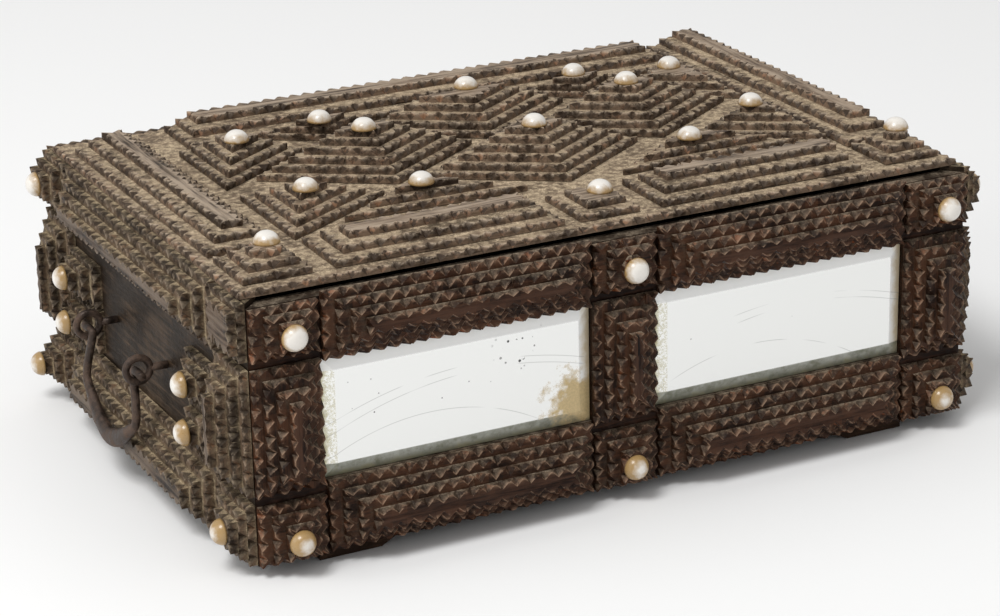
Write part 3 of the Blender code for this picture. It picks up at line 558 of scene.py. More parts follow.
def in_crack(n, low, high):
    """Share of black in and near a crack, the box from low to high in millimetres.

    A point's distances from the box's middle are taken as shares of its half sizes, and the
    greatest one is spread from 1 down to 0.75; noise moves the points to make the crack ragged.
    """
    low, high = np.array(low) * MM, np.array(high) * MM
    push = n.vector("SUBTRACT", n.noise(n.place, 260.0, 2.0, 0.5, "Color"), (0.5, 0.5, 0.5))
    point = n.vector("ADD", n.place, n.vector("MULTIPLY", push, (1.2 * MM,) * 3))
    shares = n.vector("DIVIDE", n.vector("SUBTRACT", point, tuple((low + high) / 2)), tuple((high - low) / 2))
    return n.spread(n.most(*n.split(n.vector("ABSOLUTE", shares))), 1.0, 0.75, 0.0, 0.95)


def wood(name, finish, own_grain=True, crack=None):
    """Stained wood: streaks along the grain, pale cuts, painted shade in the notches, worn bare points that
    also carry painted highlights, a dull old coat on the upper faces that is partly painted sheen, and dust.
    """
    n = Nodes(name)
    grain = n.attribute("grain", "Vector") if own_grain else n.place
    hollow, arris, cut, crown, tone = map(n.attribute, ("hollow", "arris", "cut", "crown", "tone"))
    streak = n.noise(n.stretched(grain, 0.07), 420.0, 4.0, 0.65)
    fine = n.noise(n.stretched(grain, 0.12), 1500.0, 3.0, 0.65)
    patch = n.noise(n.place, 55.0, 4.0, 0.6)
    blotch = n.noise(n.place, 330.0, 4.0, 0.65)
    speck = n.noise(n.place, 1700.0, 2.0, 0.6)

    shade = n.plus(n.times(streak, 0.9), n.times(tone, 0.35), n.times(patch, 0.6), n.times(fine, 0.5))
    base = n.mix(n.spread(shade, 0.98, 1.37), finish.dark, finish.light)
    # Painted shade: the notch facets are darkened toward the dark wood colour.
    base = n.mix(n.times(cut, finish.painted_notch_shade), base, finish.dark)
    raw = n.times(cut, n.spread(blotch, 0.48, 0.60, 0.0, 0.9), n.spread(tone, 0.55, 0.85))
    base = n.mix(raw, base, finish.cut)
    # Old coat on the upper faces, partly painted sheen.
    polish_and_sheen_share = n.times(crown, n.spread(streak, 0.40, 0.60, 0.0, finish.waxed))
    base = n.mix(polish_and_sheen_share, base, finish.wax)
    # Worn bare points, lightened partly as painted highlight along the arrises.
    edge = n.times(n.math("POWER", arris, 5.0), n.spread(blotch, 0.44, 0.58, 0.0, finish.rubbed))
    base = n.mix(edge, base, finish.edge)

    up = n.spread(n.split(n.node("ShaderNodeNewGeometry", "Normal"))[2], 0.05, 0.75)
    cover = n.spread(n.plus(n.times(patch, 0.5), n.times(blotch, 0.5)), 0.42, 0.54, 0.28, 1.0)
    settled = n.times(n.math("POWER", hollow, 3.0), finish.dusting)
    on_top = n.spread(hollow, 0.0, 1.0, 0.35 * finish.on_top, finish.on_top)
    on_top = n.times(up, on_top, n.minus(1.0, n.times(crown, 0.7)))
    in_cuts = n.spread(cut, 0.0, 1.0, 1.0, finish.cut_dust)
    dust = n.times(n.most(settled, on_top), cover, in_cuts, n.spread(speck, 0.42, 0.58, 0.45, 1.0))
    dusty = n.mix(n.spread(blotch, 0.38, 0.62), dimmed(finish.dust, 0.5), finish.dust)
    colour = n.mix(dust, base, dusty)
    if crack:
        colour = n.mix(in_crack(n, *crack), colour, (0.003, 0.002, 0.0015))
    height = n.plus(n.times(fine, 0.6), n.times(blotch, 0.5), n.times(streak, 0.7))
    return n.finish(
        Base_Color=colour,
        Roughness=n.spread(n.plus(dust, n.times(fine, 0.4)), 0.12, 0.8, finish.sheen, 0.95),
        Normal=n.bump(height, 0.5 * MM, 0.8),
        Specular_IOR_Level=0.1,
    )


def tack_paint(finish):
    """Pearly white heads, crazed a little and stained round the foot, the low ones more."""
    n = Nodes("tack_pearl")
    cloud = n.noise(n.place, 260.0, 3.0, 0.6)
    small = n.noise(n.place, 1400.0, 3.0, 0.6)
    low = n.spread(n.split(n.place)[2], 0.095, 0.035, 0.0, 0.38)
    reach = n.plus(n.attribute("hollow"), n.times(n.minus(cloud, 0.5), 0.9), low)
    white = n.mix(n.spread(cloud, 0.3, 0.7), dimmed(finish.pearl, 0.9), finish.pearl)
    return n.finish(
        Base_Color=n.mix(n.times(n.spread(reach, 0.44, 0.86), 0.92), white, finish.stain),
        Roughness=n.spread(small, 0.2, 0.8, 0.22, 0.4),
        Normal=n.bump(small, 0.1 * MM, 0.3),
        Coat_Weight=0.35,
        Coat_Roughness=0.15,
    )


def mirror_glass(finish, low, high, scratches, lost_corner):
    """Silvered glass in the box from low to high.

    Stain creeps in from the edges, the bevels carry painted reflections, near white at the top and right
    and dark at the bottom, scratches are arcs given by centre and radius, and round the lost corner,
    if there is one, the silver is gone.
    """
    n = Nodes("mirror_glass")
    x, _, z = n.split(n.place)
    left, right = n.minus(x, low[0]), n.minus(high[0], x)
    bottom, top = n.minus(z, low[2]), n.minus(high[2], z)
    cloud = n.noise(n.place, 190.0, 5.0, 0.65)
    fine = n.noise(n.place, 1100.0, 4.0, 0.6)
    wave = n.minus(cloud, 0.5)

    margin = n.plus(n.least(left, right, bottom, top), n.times(wave, 8 * MM))
    stained = n.times(n.spread(margin, 2.5 * MM, 0.2 * MM), 0.75)
    mottled = n.times(n.spread(left, 5.6 * MM, 5.2 * MM), n.spread(fine, 0.40, 0.60))
    # Painted reflection: the band along the top and right edges that gets the near-white bevel colour.
    bevel = n.spread(n.least(top, right), 5.4 * MM, 5.0 * MM)
    browned = n.spread(n.plus(right, n.times(wave, 6 * MM)), 4.8 * MM, 1.4 * MM)
    browned = n.times(browned, finish.browning)
    # Painted reflection: the band along the bottom edge that gets the dark bevel colour.
    foot = n.spread(bottom, 5.4 * MM, 5.0 * MM)
    colour = n.mix(stained, finish.silver, finish.edge_stain)
    colour = n.mix(n.times(mottled, 0.45), colour, finish.mottle)
    colour = n.mix(n.times(bevel, 0.9), colour, finish.bevel)
    colour = n.mix(browned, colour, finish.patch)
    colour = n.mix(n.times(foot, n.spread(cloud, 0.35, 0.65, 0.6, 0.95)), colour, finish.foot)
    for centre, radius in scratches:
        off = n.math("ABSOLUTE", n.minus(n.distance(centre), radius))
        broken = n.spread(n.noise(n.place, 45.0, 1.0), 0.46, 0.56, 0.0, 0.45)
        colour = n.mix(n.times(n.spread(off, 0.22 * MM, 0.08 * MM), broken), colour, finish.scratch)

    dots = n.times(n.spread(n.cells(150.0), 0.065, 0.03), n.spread(n.noise(n.place, 30.0, 2.0), 0.46, 0.56))
    lost = 0.0
    if lost_corner:
        lost = n.spread(n.plus(n.distance(lost_corner), n.times(wave, 35 * MM)), 15.5 * MM, 7.5 * MM)
        patch = n.mix(n.spread(fine, 0.3, 0.7), dimmed(finish.patch, 0.75), finish.patch)
        colour = n.mix(lost, colour, patch)
        near = (lost_corner[0] - 25 * MM, lost_corner[1], high[2] - 11 * MM)
        few = n.spread(n.noise(n.place, 500.0, 1.0), 0.40, 0.46)
        swarm = n.times(n.spread(n.distance(near), 13 * MM, 5 * MM), few)
        dots = n.most(dots, n.times(n.spread(n.cells(330.0), 0.24, 0.16), swarm))
    colour = n.mix(dots, colour, finish.speck)
    # The bands with painted bevel reflections are made matt too, as are the stained, specked, lost, browned
    # and mottled places.
    matt = n.most(stained, dots, lost, browned, n.times(mottled, 0.6))
    matt = n.most(matt, n.times(bevel, 0.9), n.times(foot, 0.85))
    return n.finish(
        Base_Color=colour,
        Metallic=n.spread(matt, 0.1, 0.9, 1.0, 0.25),
        Roughness=n.spread(matt, 0.0, 1.0, 0.03, 0.45),
        Coat_Weight=0.3,
    )


def iron_paint(finish):
    """Dark iron with rust in patches, pitted."""
    n = Nodes("rusty_iron")
    cloud = n.noise(n.place, 180.0, 5.0, 0.65)
    fine = n.noise(n.place, 1300.0, 4.0, 0.65)
    rusty = n.spread(cloud, 0.42, 0.64)
    rust = n.mix(n.spread(fine, 0.3, 0.7), dimmed(finish.rust, 0.5), finish.rust)
    return n.finish(
        Base_Color=n.mix(rusty, finish.iron, rust),
        Metallic=n.spread(rusty, 0.0, 1.0, 0.75, 0.15),
        Roughness=n.spread(rusty, 0.0, 1.0, 0.42, 0.85),
        Normal=n.bump(n.plus(cloud, n.times(fine, 0.6)), 0.4 * MM, 0.7),
    )


# Layout in millimetres from the carcass's low corner: columns, and the rows' lower and upper ends
POST = 28.0
END = 315.0
DEEP = 217.0
TOP = 105.0
FRONT_COLUMNS = {"left": (0.0, POST), "centre": (142.2, 170.2), "right": (285.7, END)}
FRONT_SPANS = {"left": ("left", "centre"), "right": ("centre", "right")}
SILL, LINTEL = 29.5, 78.0
TOP_BAND_ROW = (LINTEL, TOP)
LOW_BAND_ROW = (0.7, SILL)
POST_ROW = (28.5, 79.0)
SQUARE_ROWS = {"top": (82.0, 103.0), "bottom": (0.0, 24.7)}
SIDE_SQUARE_ROWS = {"top": (82.0, TOP - 0.3), "bottom": (0.3, 24.7)}
BLOCK_COLUMNS = {"front": (30.0, 58.0), "back": (160.0, 188.0)}
BLOCK_ROWS = ((31.2, 49.7), (50.9, 69.4))
POCKET = 3.5
TOP_CENTRE_CUT = 3.5

# Steps of the layers at the low v, high u, high v and low u edges
SQUARE_STEPS = {"top": (2.2, 4.0, 2.6, 5.0), "bottom": (1.5, 4.0, 3.7, 4.5)}
TOP_BAND_STEPS = (3.5, 3.6, 3.5, 4.9)
LOW_BAND_STEPS = (2.8, 3.6, 4.0, 4.9)
SIDE_TOP_BAND_STEPS = (3.5, 5.0, 3.5, 5.0)
SIDE_LOW_BAND_STEPS = (2.8, 5.0, 4.0, 5.0)
FRONT_POST_STEPS = (3.3, 3.7, 4.0, 3.9)
SIDE_POST_STEPS = (3.3, 4.0, 4.0, 4.0)
SIDE_SQUARE_STEPS = {"front": (2.9, 4.8, 2.9, 1.0), "back": (2.9, 1.0, 2.9, 4.8)}
BLOCK_STEPS = {"front": (2.7, 4.5, 2.7, 4.5), "back": (2.7, 0.6, 2.7, 6.0)}
BACK_STEPS = (5.0, 5.0, 5.0, 5.0)
FIELD_STEP = 3.9
HALF_DIAMOND_STEP = 2.0

# A crack down the centre post and the open seam beside the lid's right strip, about the origin
POST_CRACK = ((-1.5, -120.0, 62.0), (-0.5, -112.0, 71.5))
LID_SEAM = ((124.6, -60.0, 110.0), (125.4, 70.0, 114.0))

# Pieces on the lid: outline, steps, layers, grain axis, tack's place beside the middle, corner cut
LID_BOARD = rect(0.0, 314.5, 0.0, 205.0)
LID_BORDER = {
    "strip_left": (rect(4.5, 33.0, 41.0, 189.0), (7.0, 4.0, 0.5, 5.8), 3, 1, None, 0.0),
    "strip_right": (rect(285.0, 310.0, 34.5, 203.0), (9.5, 1.0, 0.5, 6.5), 3, 1, None, 0.0),
    "strip_back": (rect(48.0, 283.0, 169.0, 200.0), (8.5, 4.0, 1.0, 5.0), 3, 0, None, 0.0),
    "strip_front_left": (rect(42.0, 138.0, 6.5, 39.0), (7.0, 4.0, 4.0, 6.0), 3, 0, None, 0.0),
    "strip_front_right": (rect(181.0, 273.0, 6.5, 39.0), (7.0, 1.5, 4.0, 5.0), 3, 0, None, 0.0),
    "block_centre": (rect(145.0, 171.0, 6.5, 36.5), (6.0, 3.0, 5.0, 6.0), 2, 0, (3.0, 1.5), 0.0),
    "block_left": (rect(4.5, 32.5, 6.5, 35.5), (5.0, 3.0, 3.0, 4.5), 3, 0, (2.5, 3.0), 4.0),
    "block_right": (rect(285.0, 310.0, 6.5, 32.5), (6.0, 2.5, 3.0, 5.0), 3, 0, (2.5, 3.5), 4.0),
}
# Pieces in the lid's field: corners from the field's own corner, layers, tack's place
FIELD_CORNER = (41.0, 43.0)
LID_FIELD = {
    "diamond_front": ([(124.5, 9.7), (173.0, 42.0), (124.5, 74.3), (76.0, 42.0)], 6, (-0.7, -1.9)),
    "diamond_left": ([(63.5, 41.7), (112.0, 74.0), (63.5, 106.3), (15.0, 74.0)], 6, (-2.0, -3.5)),
    "diamond_right": ([(185.5, 41.7), (234.0, 74.0), (185.5, 106.3), (137.0, 74.0)], 6, (0.0, 0.0)),
    "diamond_back": (
        [(124.5, 75.7), (173.0, 108.0), (148.98, 124.0), (100.02, 124.0), (76.0, 108.0)], 5, (3.0, 5.0)
    ),
    "triangle_left": ([(0, 0), (52, 31), (0, 55)], 4, (-0.6, -3.0)),
    "triangle_right": ([(242, 5), (242, 61), (195, 35)], 4, (-2.5, 1.5)),
    "corner_back_left": ([(0, 68.8), (46, 99.4), (24, 121), (0, 121)], 4, (-1.0, -5.0)),
    "corner_back_right": ([(242, 73.5), (242, 121), (219, 121), (200, 101.5)], 3, (1.0, 5.0)),
    "triangle_front_left": ([(25, 9.5), (104, 8), (63.5, 35)], 3, (-1.8, -2.0)),
    "triangle_front_right": ([(146, 6), (229, 6), (185.5, 35)], 3, (-4.0, -2.5)),
    "half_diamond_left": ([(63.5, 107.5), (87.5, 124), (39.5, 124)], 3, (-3.0, -3.5)),
    "half_diamond_right": ([(185.5, 107.5), (209.5, 124), (161.5, 124)], 3, (-0.3, 3.5)),
}

# Mirrors: arcs by their centre's place beside the middle, their drop below the top and radius
SCRATCHES = ((8.0, 14.0, 160.0), (10.0, 17.0, 150.0), (-12.0, 30.0, 90.0))
LOST_CORNER = (6.0, 9.0)

# Handles: the bails turn on an axis at AXIS_HEIGHT, and half of each runs from eye to grip
HANDLE_MIDDLE, HANDLE_HEIGHT, AXIS_HEIGHT = 114.5, 52.0, 50.45
EYE_APART, EYE_STANDOFF, EYE_RING, EYE_WIRE, EYE_STEM = 57.0, 12.5, 5.0, 1.5, 1.6
BAIL_ROUTE = (
    (33.0, 0.0), (25.7, 0.0), (24.0, -2.55), (28.5, -19.5), (21.375, -26.64), (10.83, -33.12), (0.0, -36.0)
)
BAIL_KNEE, BAIL_DROP, BAIL_OUT = 19.5, 36.0, 3.9
BAIL_WIRE, GRIP_THICK, GRIP_WIDE = 1.7, 2.2, 0.9


class Builder:
    """Sizes, faces, materials and random numbers for one side's pieces."""

    def __init__(self, context, side):
        scene = context.scene
        self.sizes, self.notch = scene.tramp_sizes, scene.tramp_notches
        self.faces = faces(self.sizes)
        self.layer = getattr(self.sizes, side + "_layer")
        self.wood = finish_of(context, "carved_%s_wood" % side)
        self.pearl = finish_of(context, "tack_pearl")
        self.slot = side + "_wood"

    def draws(self, name):
        """Random numbers that depend on the piece's name alone."""
        return np.random.default_rng([SEED, *name.encode()])

    def stack(self, surface, face, outline, base, steps, count, rng, grain_axis=0, tacked=False, cut=0.0):
        """Layers laid on one another, each sunk a little into the one below; returns the top's middle."""
        outlines = nested(outline, np.asarray(steps) * MM, count)
        if cut:
            outlines[-1] = cut_corners(outlines[-1], cut * MM)
        for k, ring in enumerate(outlines):
            low = base if k == 0 else k * self.layer - SUNK
            _, along, _ = edge_frames(ring)
            reach = np.abs(cross(along, ring.mean(0) - ring))
            is_top = k == count - 1
            rooms = reach - 2 * MM if tacked and is_top else 0.8 * reach
            high = (k + 1) * self.layer
            plane = self.faces[face]
            notched_slab(surface, plane, ring, low, high, rooms, self.notch, rng, grain_axis, is_top)
        return outlines[-1].mean(0)

    def tack(self, name, face, centre, count):
        """Tack in the middle of a stack of so many layers."""
        surface = Surface()
        sizes = self.sizes
        dome(surface, self.faces[face], centre, count * self.layer, sizes.tack_radius, sizes.tack_height)
        surface.piece("tack_" + name, self.pearl, smooth=True)

    def layers(self, name, face, outline, steps, count, grain_axis=0, tack=None, cut=0.0):
        """Stack that is a piece of its own; tack is the place of its tack beside its middle."""
        surface = Surface()
        gap, rng, tacked = self.sizes.gap, self.draws(name), tack is not None
        middle = self.stack(surface, face, outline, gap, steps, count, rng, grain_axis, tacked, cut)
        surface.piece(name + "_layers", self.wood, slot=self.slot, replaces=(name,))
        if tacked:
            self.tack(name, face, middle + np.array(tack) * MM, count)

    def squares(self, surface, face, places, rng):
        """Stacks that are one piece with their board, by outline, steps, layers, tacked, corner cut."""
        for name, (outline, steps, count, tacked, cut) in places.items():
            middle = self.stack(surface, face, outline, -BOARD_SUNK, steps, count, rng, 0, tacked, cut)
            if tacked:
                self.tack("%s_%s" % (face, name), face, middle, count)


def finish_of(context, name):
    """The material of that name, made the first time it is asked for."""
    scene = context.scene
    recipes = {
        "carved_front_wood": lambda: wood(name, scene.tramp_front_wood, crack=POST_CRACK),
        "carved_side_wood": lambda: wood(name, scene.tramp_side_wood),
        "carved_lid_wood": lambda: wood(name, scene.tramp_lid_wood, crack=LID_SEAM),
        "carved_back_wood": lambda: wood(name, scene.tramp_back_wood),
        "plain_board": lambda: wood(name, scene.tramp_back_wood, own_grain=False),
        "tack_pearl": lambda: tack_paint(scene.tramp_tacks),
        "rusty_iron": lambda: iron_paint(scene.tramp_iron),
    }
    return bpy.data.materials.get(name) or recipes[name]()


def repaint(name, material):
    """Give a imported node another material."""
    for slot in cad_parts[name].material_slots:
        slot.material = material


def mitred_board(surface, face, outline, wall, rng, openings=()):
    """Flat board whose ends slope inward to the back, with square pockets let into its face.

    The face is a grid of cells between the openings' edges; each opening's cell lies one pocket
    deeper and has four walls.
    """
    (u0, v0), (u1, v1) = outline[0], outline[2]
    us = np.unique([u0, u1, *[x for o in openings for x in o[:2]]])
    vs = np.unique([v0, v1, *[x for o in openings for x in o[2:]]])
    u, v = np.meshgrid(us, vs, indexing="ij")
    front = np.stack((u, v, np.zeros_like(u)), 2).reshape(-1, 3)
    cells = grid_faces(len(us), len(vs))[:, ::-1]
    middle_u, middle_v, _ = front[cells].mean(1).T
    inside = np.zeros(len(cells), bool)
    for a, b, c, d in openings:
        inside |= (middle_u > a) & (middle_u < b) & (middle_v > c) & (middle_v < d)
    points, patches = [front], [cells[~inside]]
    count = len(front)
    for cell in cells[inside]:
        points.append(front[cell] - (0, 0, POCKET * MM))
        ring = count + np.arange(4)
        patches += [ring[None], np.stack((cell, np.roll(cell, -1), np.roll(ring, -1), ring), 1)]
        count += 4
    grid = np.arange(len(front)).reshape(len(us), len(vs))
    rim = np.concatenate((grid[:, 0], grid[-1, 1:], grid[-2::-1, -1], grid[0, -2:0:-1]))
    back = front[rim].copy()
    back[:, 2] = -wall
    back[:, 0] = np.clip(back[:, 0], u0 + wall, u1 - wall)
    points = np.concatenate((*points, back))
    low = count + np.arange(len(rim))
    patches += [np.stack((np.roll(rim, -1), rim, low, np.roll(low, -1)), 1), low[None, ::-1]]
    surface.add(face.place(points), patches, points + rng.uniform(0, 3, 3), face.turned, hollow=0.35)


class TRAMP_OT_front(bpy.types.Operator):
    """Front board with its tacked squares, and the posts and bands round the mirrors"""

    bl_idname = "tramp.front"
    bl_label = "Carved Front"

    def execute(self, context):
        b = Builder(context, "front")
        rng, gap = b.draws("front_board"), b.sizes.gap
        surface = Surface()
        spans = {side: (FRONT_COLUMNS[a][1], FRONT_COLUMNS[c][0]) for side, (a, c) in FRONT_SPANS.items()}
        openings = [(u0 * MM + gap, u1 * MM, SILL * MM, LINTEL * MM) for u0, u1 in spans.values()]
        outline = rect(0.0, END, SQUARE_ROWS["bottom"][0], SQUARE_ROWS["top"][1])
        mitred_board(surface, b.faces["front"], outline, b.sizes.wall, rng, openings)
        squares = {}
        for side, column in FRONT_COLUMNS.items():
            for row, rows in SQUARE_ROWS.items():
                cut = TOP_CENTRE_CUT if (row, side) == ("top", "centre") else 0.0
                outline = inset(rect(*column, *rows), np.full(4, gap))
                squares["%s_%s" % (row, side)] = (outline, SQUARE_STEPS[row], 3, True, cut)
        b.squares(surface, "front", squares, rng)
        surface.piece("front_board_carved", b.wood, slot=b.slot, replaces=("front_board",))
        for side, column in FRONT_COLUMNS.items():
            outline = rect(*column, *POST_ROW)
            b.layers("front_post_" + side, "front", outline, FRONT_POST_STEPS, 4, grain_axis=1)
        for side, (u0, u1) in spans.items():
            top, low = [rect(u0 + 1, u1 - 1, *row) for row in (TOP_BAND_ROW, LOW_BAND_ROW)]
            b.layers("front_top_band_" + side, "front", top, TOP_BAND_STEPS, 4)
            b.layers("front_bottom_band_" + side, "front", low, LOW_BAND_STEPS, 4)
        return {"FINISHED"}


class TRAMP_OT_sides(bpy.types.Operator):
    """Side boards with their squares and blocks, and the posts and bands on them"""

    bl_idname = "tramp.sides"
    bl_label = "Carved Sides"

    def execute(self, context):
        b = Builder(context, "side")
        mitre = 1.5 * b.sizes.gap / MM
        corners = {"front": (2 * mitre, POST), "back": (DEEP - POST, DEEP - 2 * mitre)}
        for side in ("left", "right"):
            rng = b.draws(side + "_board")
            surface = Surface()
            mitred_board(surface, b.faces[side], rect(mitre, DEEP - mitre, 0.0, TOP), b.sizes.wall, rng)
            squares = {}
            for row, rows in SIDE_SQUARE_ROWS.items():
                for end, column in corners.items():
                    # The left side's upper front square has lost its top layer and its tack
                    lost = (side, row, end) == ("left", "top", "front")
                    count = 4 if (row, end) == ("bottom", "back") else 3
                    place = (rect(*column, *rows), SIDE_SQUARE_STEPS[end], count - lost, not lost, 0.0)
                    squares["%s_%s" % (row, end)] = place
            for number, rows in enumerate(BLOCK_ROWS):
                for end, column in BLOCK_COLUMNS.items():
                    place = (rect(*column, *rows), BLOCK_STEPS[end], 3, True, 0.0)
                    squares["block_%s_%d" % (end, number)] = place
            b.squares(surface, side, squares, rng)
            surface.piece(side + "_board_carved", b.wood, slot=b.slot, replaces=(side + "_board",))
            for end, u0 in (("front", 0.0), ("back", DEEP - POST)):
                outline = rect(u0, u0 + POST, *POST_ROW)
                b.layers("%s_post_%s" % (side, end), side, outline, SIDE_POST_STEPS, 4, grain_axis=1)
            top, low = [rect(POST + 1, DEEP - POST - 1, *row) for row in (TOP_BAND_ROW, LOW_BAND_ROW)]
            b.layers(side + "_top_band", side, top, SIDE_TOP_BAND_STEPS, 4)
            b.layers(side + "_bottom_band", side, low, SIDE_LOW_BAND_STEPS, 4)
        return {"FINISHED"}


class TRAMP_OT_back(bpy.types.Operator):
    """Plainer back, floor board and feet"""

    bl_idname = "tramp.back"
    bl_label = "Back and Underside"

    def execute(self, context):
        b = Builder(context, "back")
        for end, u0 in (("left", 0.0), ("right", END - POST)):
            b.layers("back_post_" + end, "back", rect(u0, u0 + POST, 0.0, TOP), BACK_STEPS, 2, grain_axis=1)
        for name, row in (("back_top_band", TOP_BAND_ROW), ("back_bottom_band", LOW_BAND_ROW)):
            b.layers(name, "back", rect(POST + 1, END - POST - 1, *row), BACK_STEPS, 2)
        feet = ["foot_%s_%s" % (row, end) for row in ("front", "back") for end in ("left", "right")]
        for name in ("back_board", "bottom_board", *feet):
            repaint(name, finish_of(context, "plain_board"))
        return {"FINISHED"}


class TRAMP_OT_lid(bpy.types.Operator):
    """Lid board, border strips and blocks, and the diamonds and triangles of its field"""

    bl_idname = "tramp.lid"
    bl_label = "Carved Lid"

    def execute(self, context):
        b = Builder(context, "lid")
        surface = Surface()
        face, rng, rooms = b.faces["lid_back"], b.draws("lid_board"), np.full(4, 20 * MM)
        notched_slab(surface, face, LID_BOARD, 0.0, b.sizes.lid_board, rooms, b.notch, rng, 0, False)
        surface.piece("lid_board_notched", b.wood, slot=b.slot, replaces=("lid_board",))
        for name, (outline, *options) in LID_BORDER.items():
            b.layers("lid_" + name, "lid", outline, *options)
        for name, (points, count, tack) in LID_FIELD.items():
            outline = (np.array(points, float) + FIELD_CORNER) * MM
            step = HALF_DIAMOND_STEP if name.startswith("half") else FIELD_STEP
            b.layers("lid_" + name, "lid", outline, [step] * len(points), count, tack=tack)
        return {"FINISHED"}


class TRAMP_OT_mirrors(bpy.types.Operator):
    """Finish of the two bevelled mirrors"""

    bl_idname = "tramp.mirrors"
    bl_label = "Mirrors"

    def execute(self, context):
        for side in ("left", "right"):
            low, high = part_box("mirror_" + side)
            lost = None
            if side == "left":
                lost = (high[0] - LOST_CORNER[0] * MM, low[1], low[2] + LOST_CORNER[1] * MM)
            middle = (low[0] + high[0]) / 2
            scratches = [
                ((middle + shift * MM, low[1], high[2] - (reach + drop) * MM), reach * MM)
                for shift, drop, reach in SCRATCHES
            ]
            repaint("mirror_" + side, mirror_glass(context.scene.tramp_mirrors, low, high, scratches, lost))
        return {"FINISHED"}


class TRAMP_OT_handles(bpy.types.Operator):
    """Iron screw eyes and the bails that hang in them"""

    bl_idname = "tramp.handles"
    bl_label = "Iron Handles"

    def execute(self, context):
        iron = finish_of(context, "rusty_iron")
        turn = np.linspace(0, 2 * math.pi, 48, endpoint=False)
        angle, around = np.meshgrid(turn, turn[::3], indexing="ij")
        reach = EYE_RING + EYE_WIRE * np.cos(around)
        up, out = HANDLE_HEIGHT + reach * np.sin(angle), EYE_STANDOFF + reach * np.cos(angle)
        quads = grid_faces(*angle.shape, True, True)

        route = smooth_route([*BAIL_ROUTE, *[(-x, y) for x, y in reversed(BAIL_ROUTE[:-1])]], 10)
        lean = math.asin(BAIL_OUT / BAIL_DROP)
        swell = np.clip((-route[:, 1] - BAIL_KNEE) / (BAIL_DROP - BAIL_KNEE), 0, 1)
        smooth = swell * swell * (3 - 2 * swell)
        bail = np.column_stack((
            HANDLE_MIDDLE + route[:, 0],
            AXIS_HEIGHT + route[:, 1] * math.cos(lean),
            EYE_STANDOFF - route[:, 1] * math.sin(lean),
        ))
        thick, wide = (BAIL_WIRE + GRIP_THICK * smooth) * MM, (BAIL_WIRE + GRIP_WIDE * smooth) * MM
        for side in ("left", "right"):
            face = faces(context.scene.tramp_sizes)[side]
            for end, shift in (("front", -EYE_APART / 2), ("back", EYE_APART / 2)):
                along = HANDLE_MIDDLE + shift
                name = "%s_eye_%s" % (side, end)
                surface = Surface()
                local = np.stack((along + EYE_WIRE * np.sin(around), up, out), 2)
                points = face.place(local.reshape(-1, 3) * MM)
                surface.add(points, [quads if face.turned else quads[:, ::-1]], points)
                stem_ends = (0.3, EYE_STANDOFF - EYE_RING - 0.2)
                stem = face.place(np.array([(along, HANDLE_HEIGHT, w) for w in stem_ends]) * MM)
                tube(surface, stem, (0, 0, 1), EYE_STEM * MM, EYE_STEM * MM, 12)
                surface.piece(name + "_iron", iron, slot="iron", replaces=(name,), smooth=True)
            surface = Surface()
            tube(surface, face.place(bail * MM), face.axes[2], thick, wide, 20)
            surface.piece(side + "_bail", iron, side + "_handle", "iron", (side + "_handle",), smooth=True)
        return {"FINISHED"}


class TRAMP_OT_stage(bpy.types.Operator):
    """Floor, lights and camera"""

    bl_idname = "tramp.stage"
    bl_label = "Stage"

    def execute(self, context):
        scene = context.scene
        scene.view_settings.view_transform = "Standard"
        studio = scene.tramp_studio
        mesh = bpy.data.meshes.new("floor")
        corners = rect(-6000, 6000, -6000, 6000)
        mesh.from_pydata(np.column_stack((corners, np.zeros(4))).tolist(), [], [(0, 1, 2, 3)])
        mesh.materials.append(Nodes("floor_paper").finish(Base_Color=studio.floor, Roughness=0.9))
        floor = bpy.data.objects.new("floor", mesh)
        floor.location.z = -0.2 * MM
        scene.collection.objects.link(floor)

        scene.world = bpy.data.worlds.new("studio")
        scene.world.use_nodes = True
        background = scene.world.node_tree.nodes["Background"]
        background.inputs[0].default_value = (1.0, 1.0, 1.0, 1.0)
        background.inputs[1].default_value = studio.world

        aim = Vector((0, 0, 0.05))
        for name, power, size, place in (
            ("key", studio.key, 1.0, Vector((-1.4, -0.75, 2.5))),
            ("fill", studio.fill, 0.8, Vector((-1.3, 0.1, 0.6))),
        ):
            light = bpy.data.lights.new(name, "AREA")
            light.energy = power
            light.size = size
            lamp = bpy.data.objects.new(name, light)
            lamp.location = place
            lamp.rotation_euler = (aim - place).to_track_quat("-Z", "Y").to_euler()
            scene.collection.objects.link(lamp)

        # Solved from the photo: focal length as a share of the picture's width, axes and place
        lens = bpy.data.cameras.new("camera")
        lens.sensor_width = 36.0
        lens.lens = 3.013807 * lens.sensor_width
        lens.clip_start, lens.clip_end = 0.05, 30.0
        right = Vector((0.89132, -0.45291, -0.02013))
        down = Vector((-0.17692, -0.30662, -0.93522))
        look = Vector((0.41741, 0.83716, -0.35343))
        camera = bpy.data.objects.new("camera", lens)
        turn = Matrix((right, -down, -look)).transposed().to_4x4()
        camera.matrix_world = Matrix.Translation((-0.5307, -1.05995, 0.4920)) @ turn
        scene.collection.objects.link(camera)
        scene.camera = camera
        return {"FINISHED"}


class TRAMP_PT_box(bpy.types.Panel):
    """Sizes, finishes and the steps that build the box"""

    bl_idname = "TRAMP_PT_box"
    bl_label = "Tramp Art Box"
    bl_space_type = "VIEW_3D"
    bl_region_type = "UI"
    bl_category = "Tramp Art Box"

    def draw(self, context):
        def spoken(name):
            return name.replace("_", " ").capitalize()

        layout = self.layout
        for group, kind in GROUPS.items():
            box = layout.box()
            box.label(text=spoken(group))
            for name in kind.__annotations__:
                box.prop(getattr(context.scene, group), name, text=spoken(name))
        for operator in OPERATORS:
            layout.operator(operator.bl_idname)


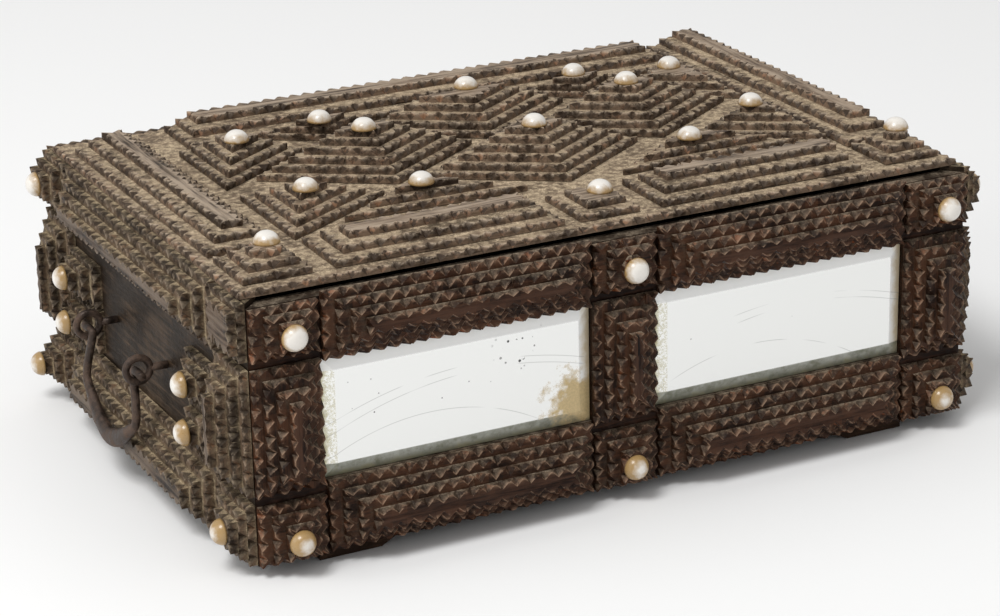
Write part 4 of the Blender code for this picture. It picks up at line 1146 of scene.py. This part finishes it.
OPERATORS = (
    TRAMP_OT_stage,
    TRAMP_OT_front,
    TRAMP_OT_sides,
    TRAMP_OT_back,
    TRAMP_OT_lid,
    TRAMP_OT_mirrors,
    TRAMP_OT_handles,
)
GROUPS = {
    "tramp_sizes": BoxSizes,
    "tramp_notches": NotchSizes,
    "tramp_front_wood": WoodFinish,
    "tramp_side_wood": WoodFinish,
    "tramp_lid_wood": WoodFinish,
    "tramp_back_wood": WoodFinish,
    "tramp_tacks": TackFinish,
    "tramp_mirrors": MirrorFinish,
    "tramp_iron": IronFinish,
    "tramp_studio": StudioSettings,
}
SETTINGS = tuple(dict.fromkeys(GROUPS.values()))
WOODS = {
    "tramp_side_wood": {
        "dark": (0.013, 0.0072, 0.0040), "light": (0.105, 0.066, 0.041), "cut": (0.12, 0.055, 0.026),
        "edge": (0.30, 0.235, 0.170), "wax": (0.170, 0.132, 0.098), "dust": (0.56, 0.445, 0.285),
        "on_top": 1.0, "dusting": 0.65, "painted_notch_shade": 0.75, "cut_dust": 0.3, "rubbed": 0.7,
        "waxed": 0.6, "sheen": 0.40,
    },
    "tramp_lid_wood": {
        "dark": (0.026, 0.0155, 0.0095), "light": (0.200, 0.136, 0.092), "cut": (0.22, 0.110, 0.058),
        "edge": (0.54, 0.43, 0.32), "wax": (0.40, 0.315, 0.235), "dust": (0.62, 0.49, 0.33),
        "on_top": 1.0, "dusting": 0.15, "painted_notch_shade": 0.8, "cut_dust": 0.10, "rubbed": 0.8,
        "waxed": 0.85, "sheen": 0.38,
    },
    "tramp_back_wood": {
        "dark": (0.022, 0.011, 0.006), "light": (0.095, 0.052, 0.029),
        "on_top": 0.5, "dusting": 0.2, "rubbed": 0.2, "waxed": 0.2, "sheen": 0.5,
    },
}


def register():
    for made in (*SETTINGS, *OPERATORS, TRAMP_PT_box):
        bpy.utils.register_class(made)
    for name, group in GROUPS.items():
        setattr(bpy.types.Scene, name, bpy.props.PointerProperty(type=group))


def unregister():
    for name in GROUPS:
        delattr(bpy.types.Scene, name)
    for made in (TRAMP_PT_box, *reversed(OPERATORS), *reversed(SETTINGS)):
        bpy.utils.unregister_class(made)


def main():
    register()
    for name, values in WOODS.items():
        for key, value in values.items():
            setattr(getattr(bpy.context.scene, name), key, value)
    for operator in OPERATORS:
        group, step = operator.bl_idname.split(".")
        getattr(getattr(bpy.ops, group), step)()


if __name__ == "__main__":
    main()
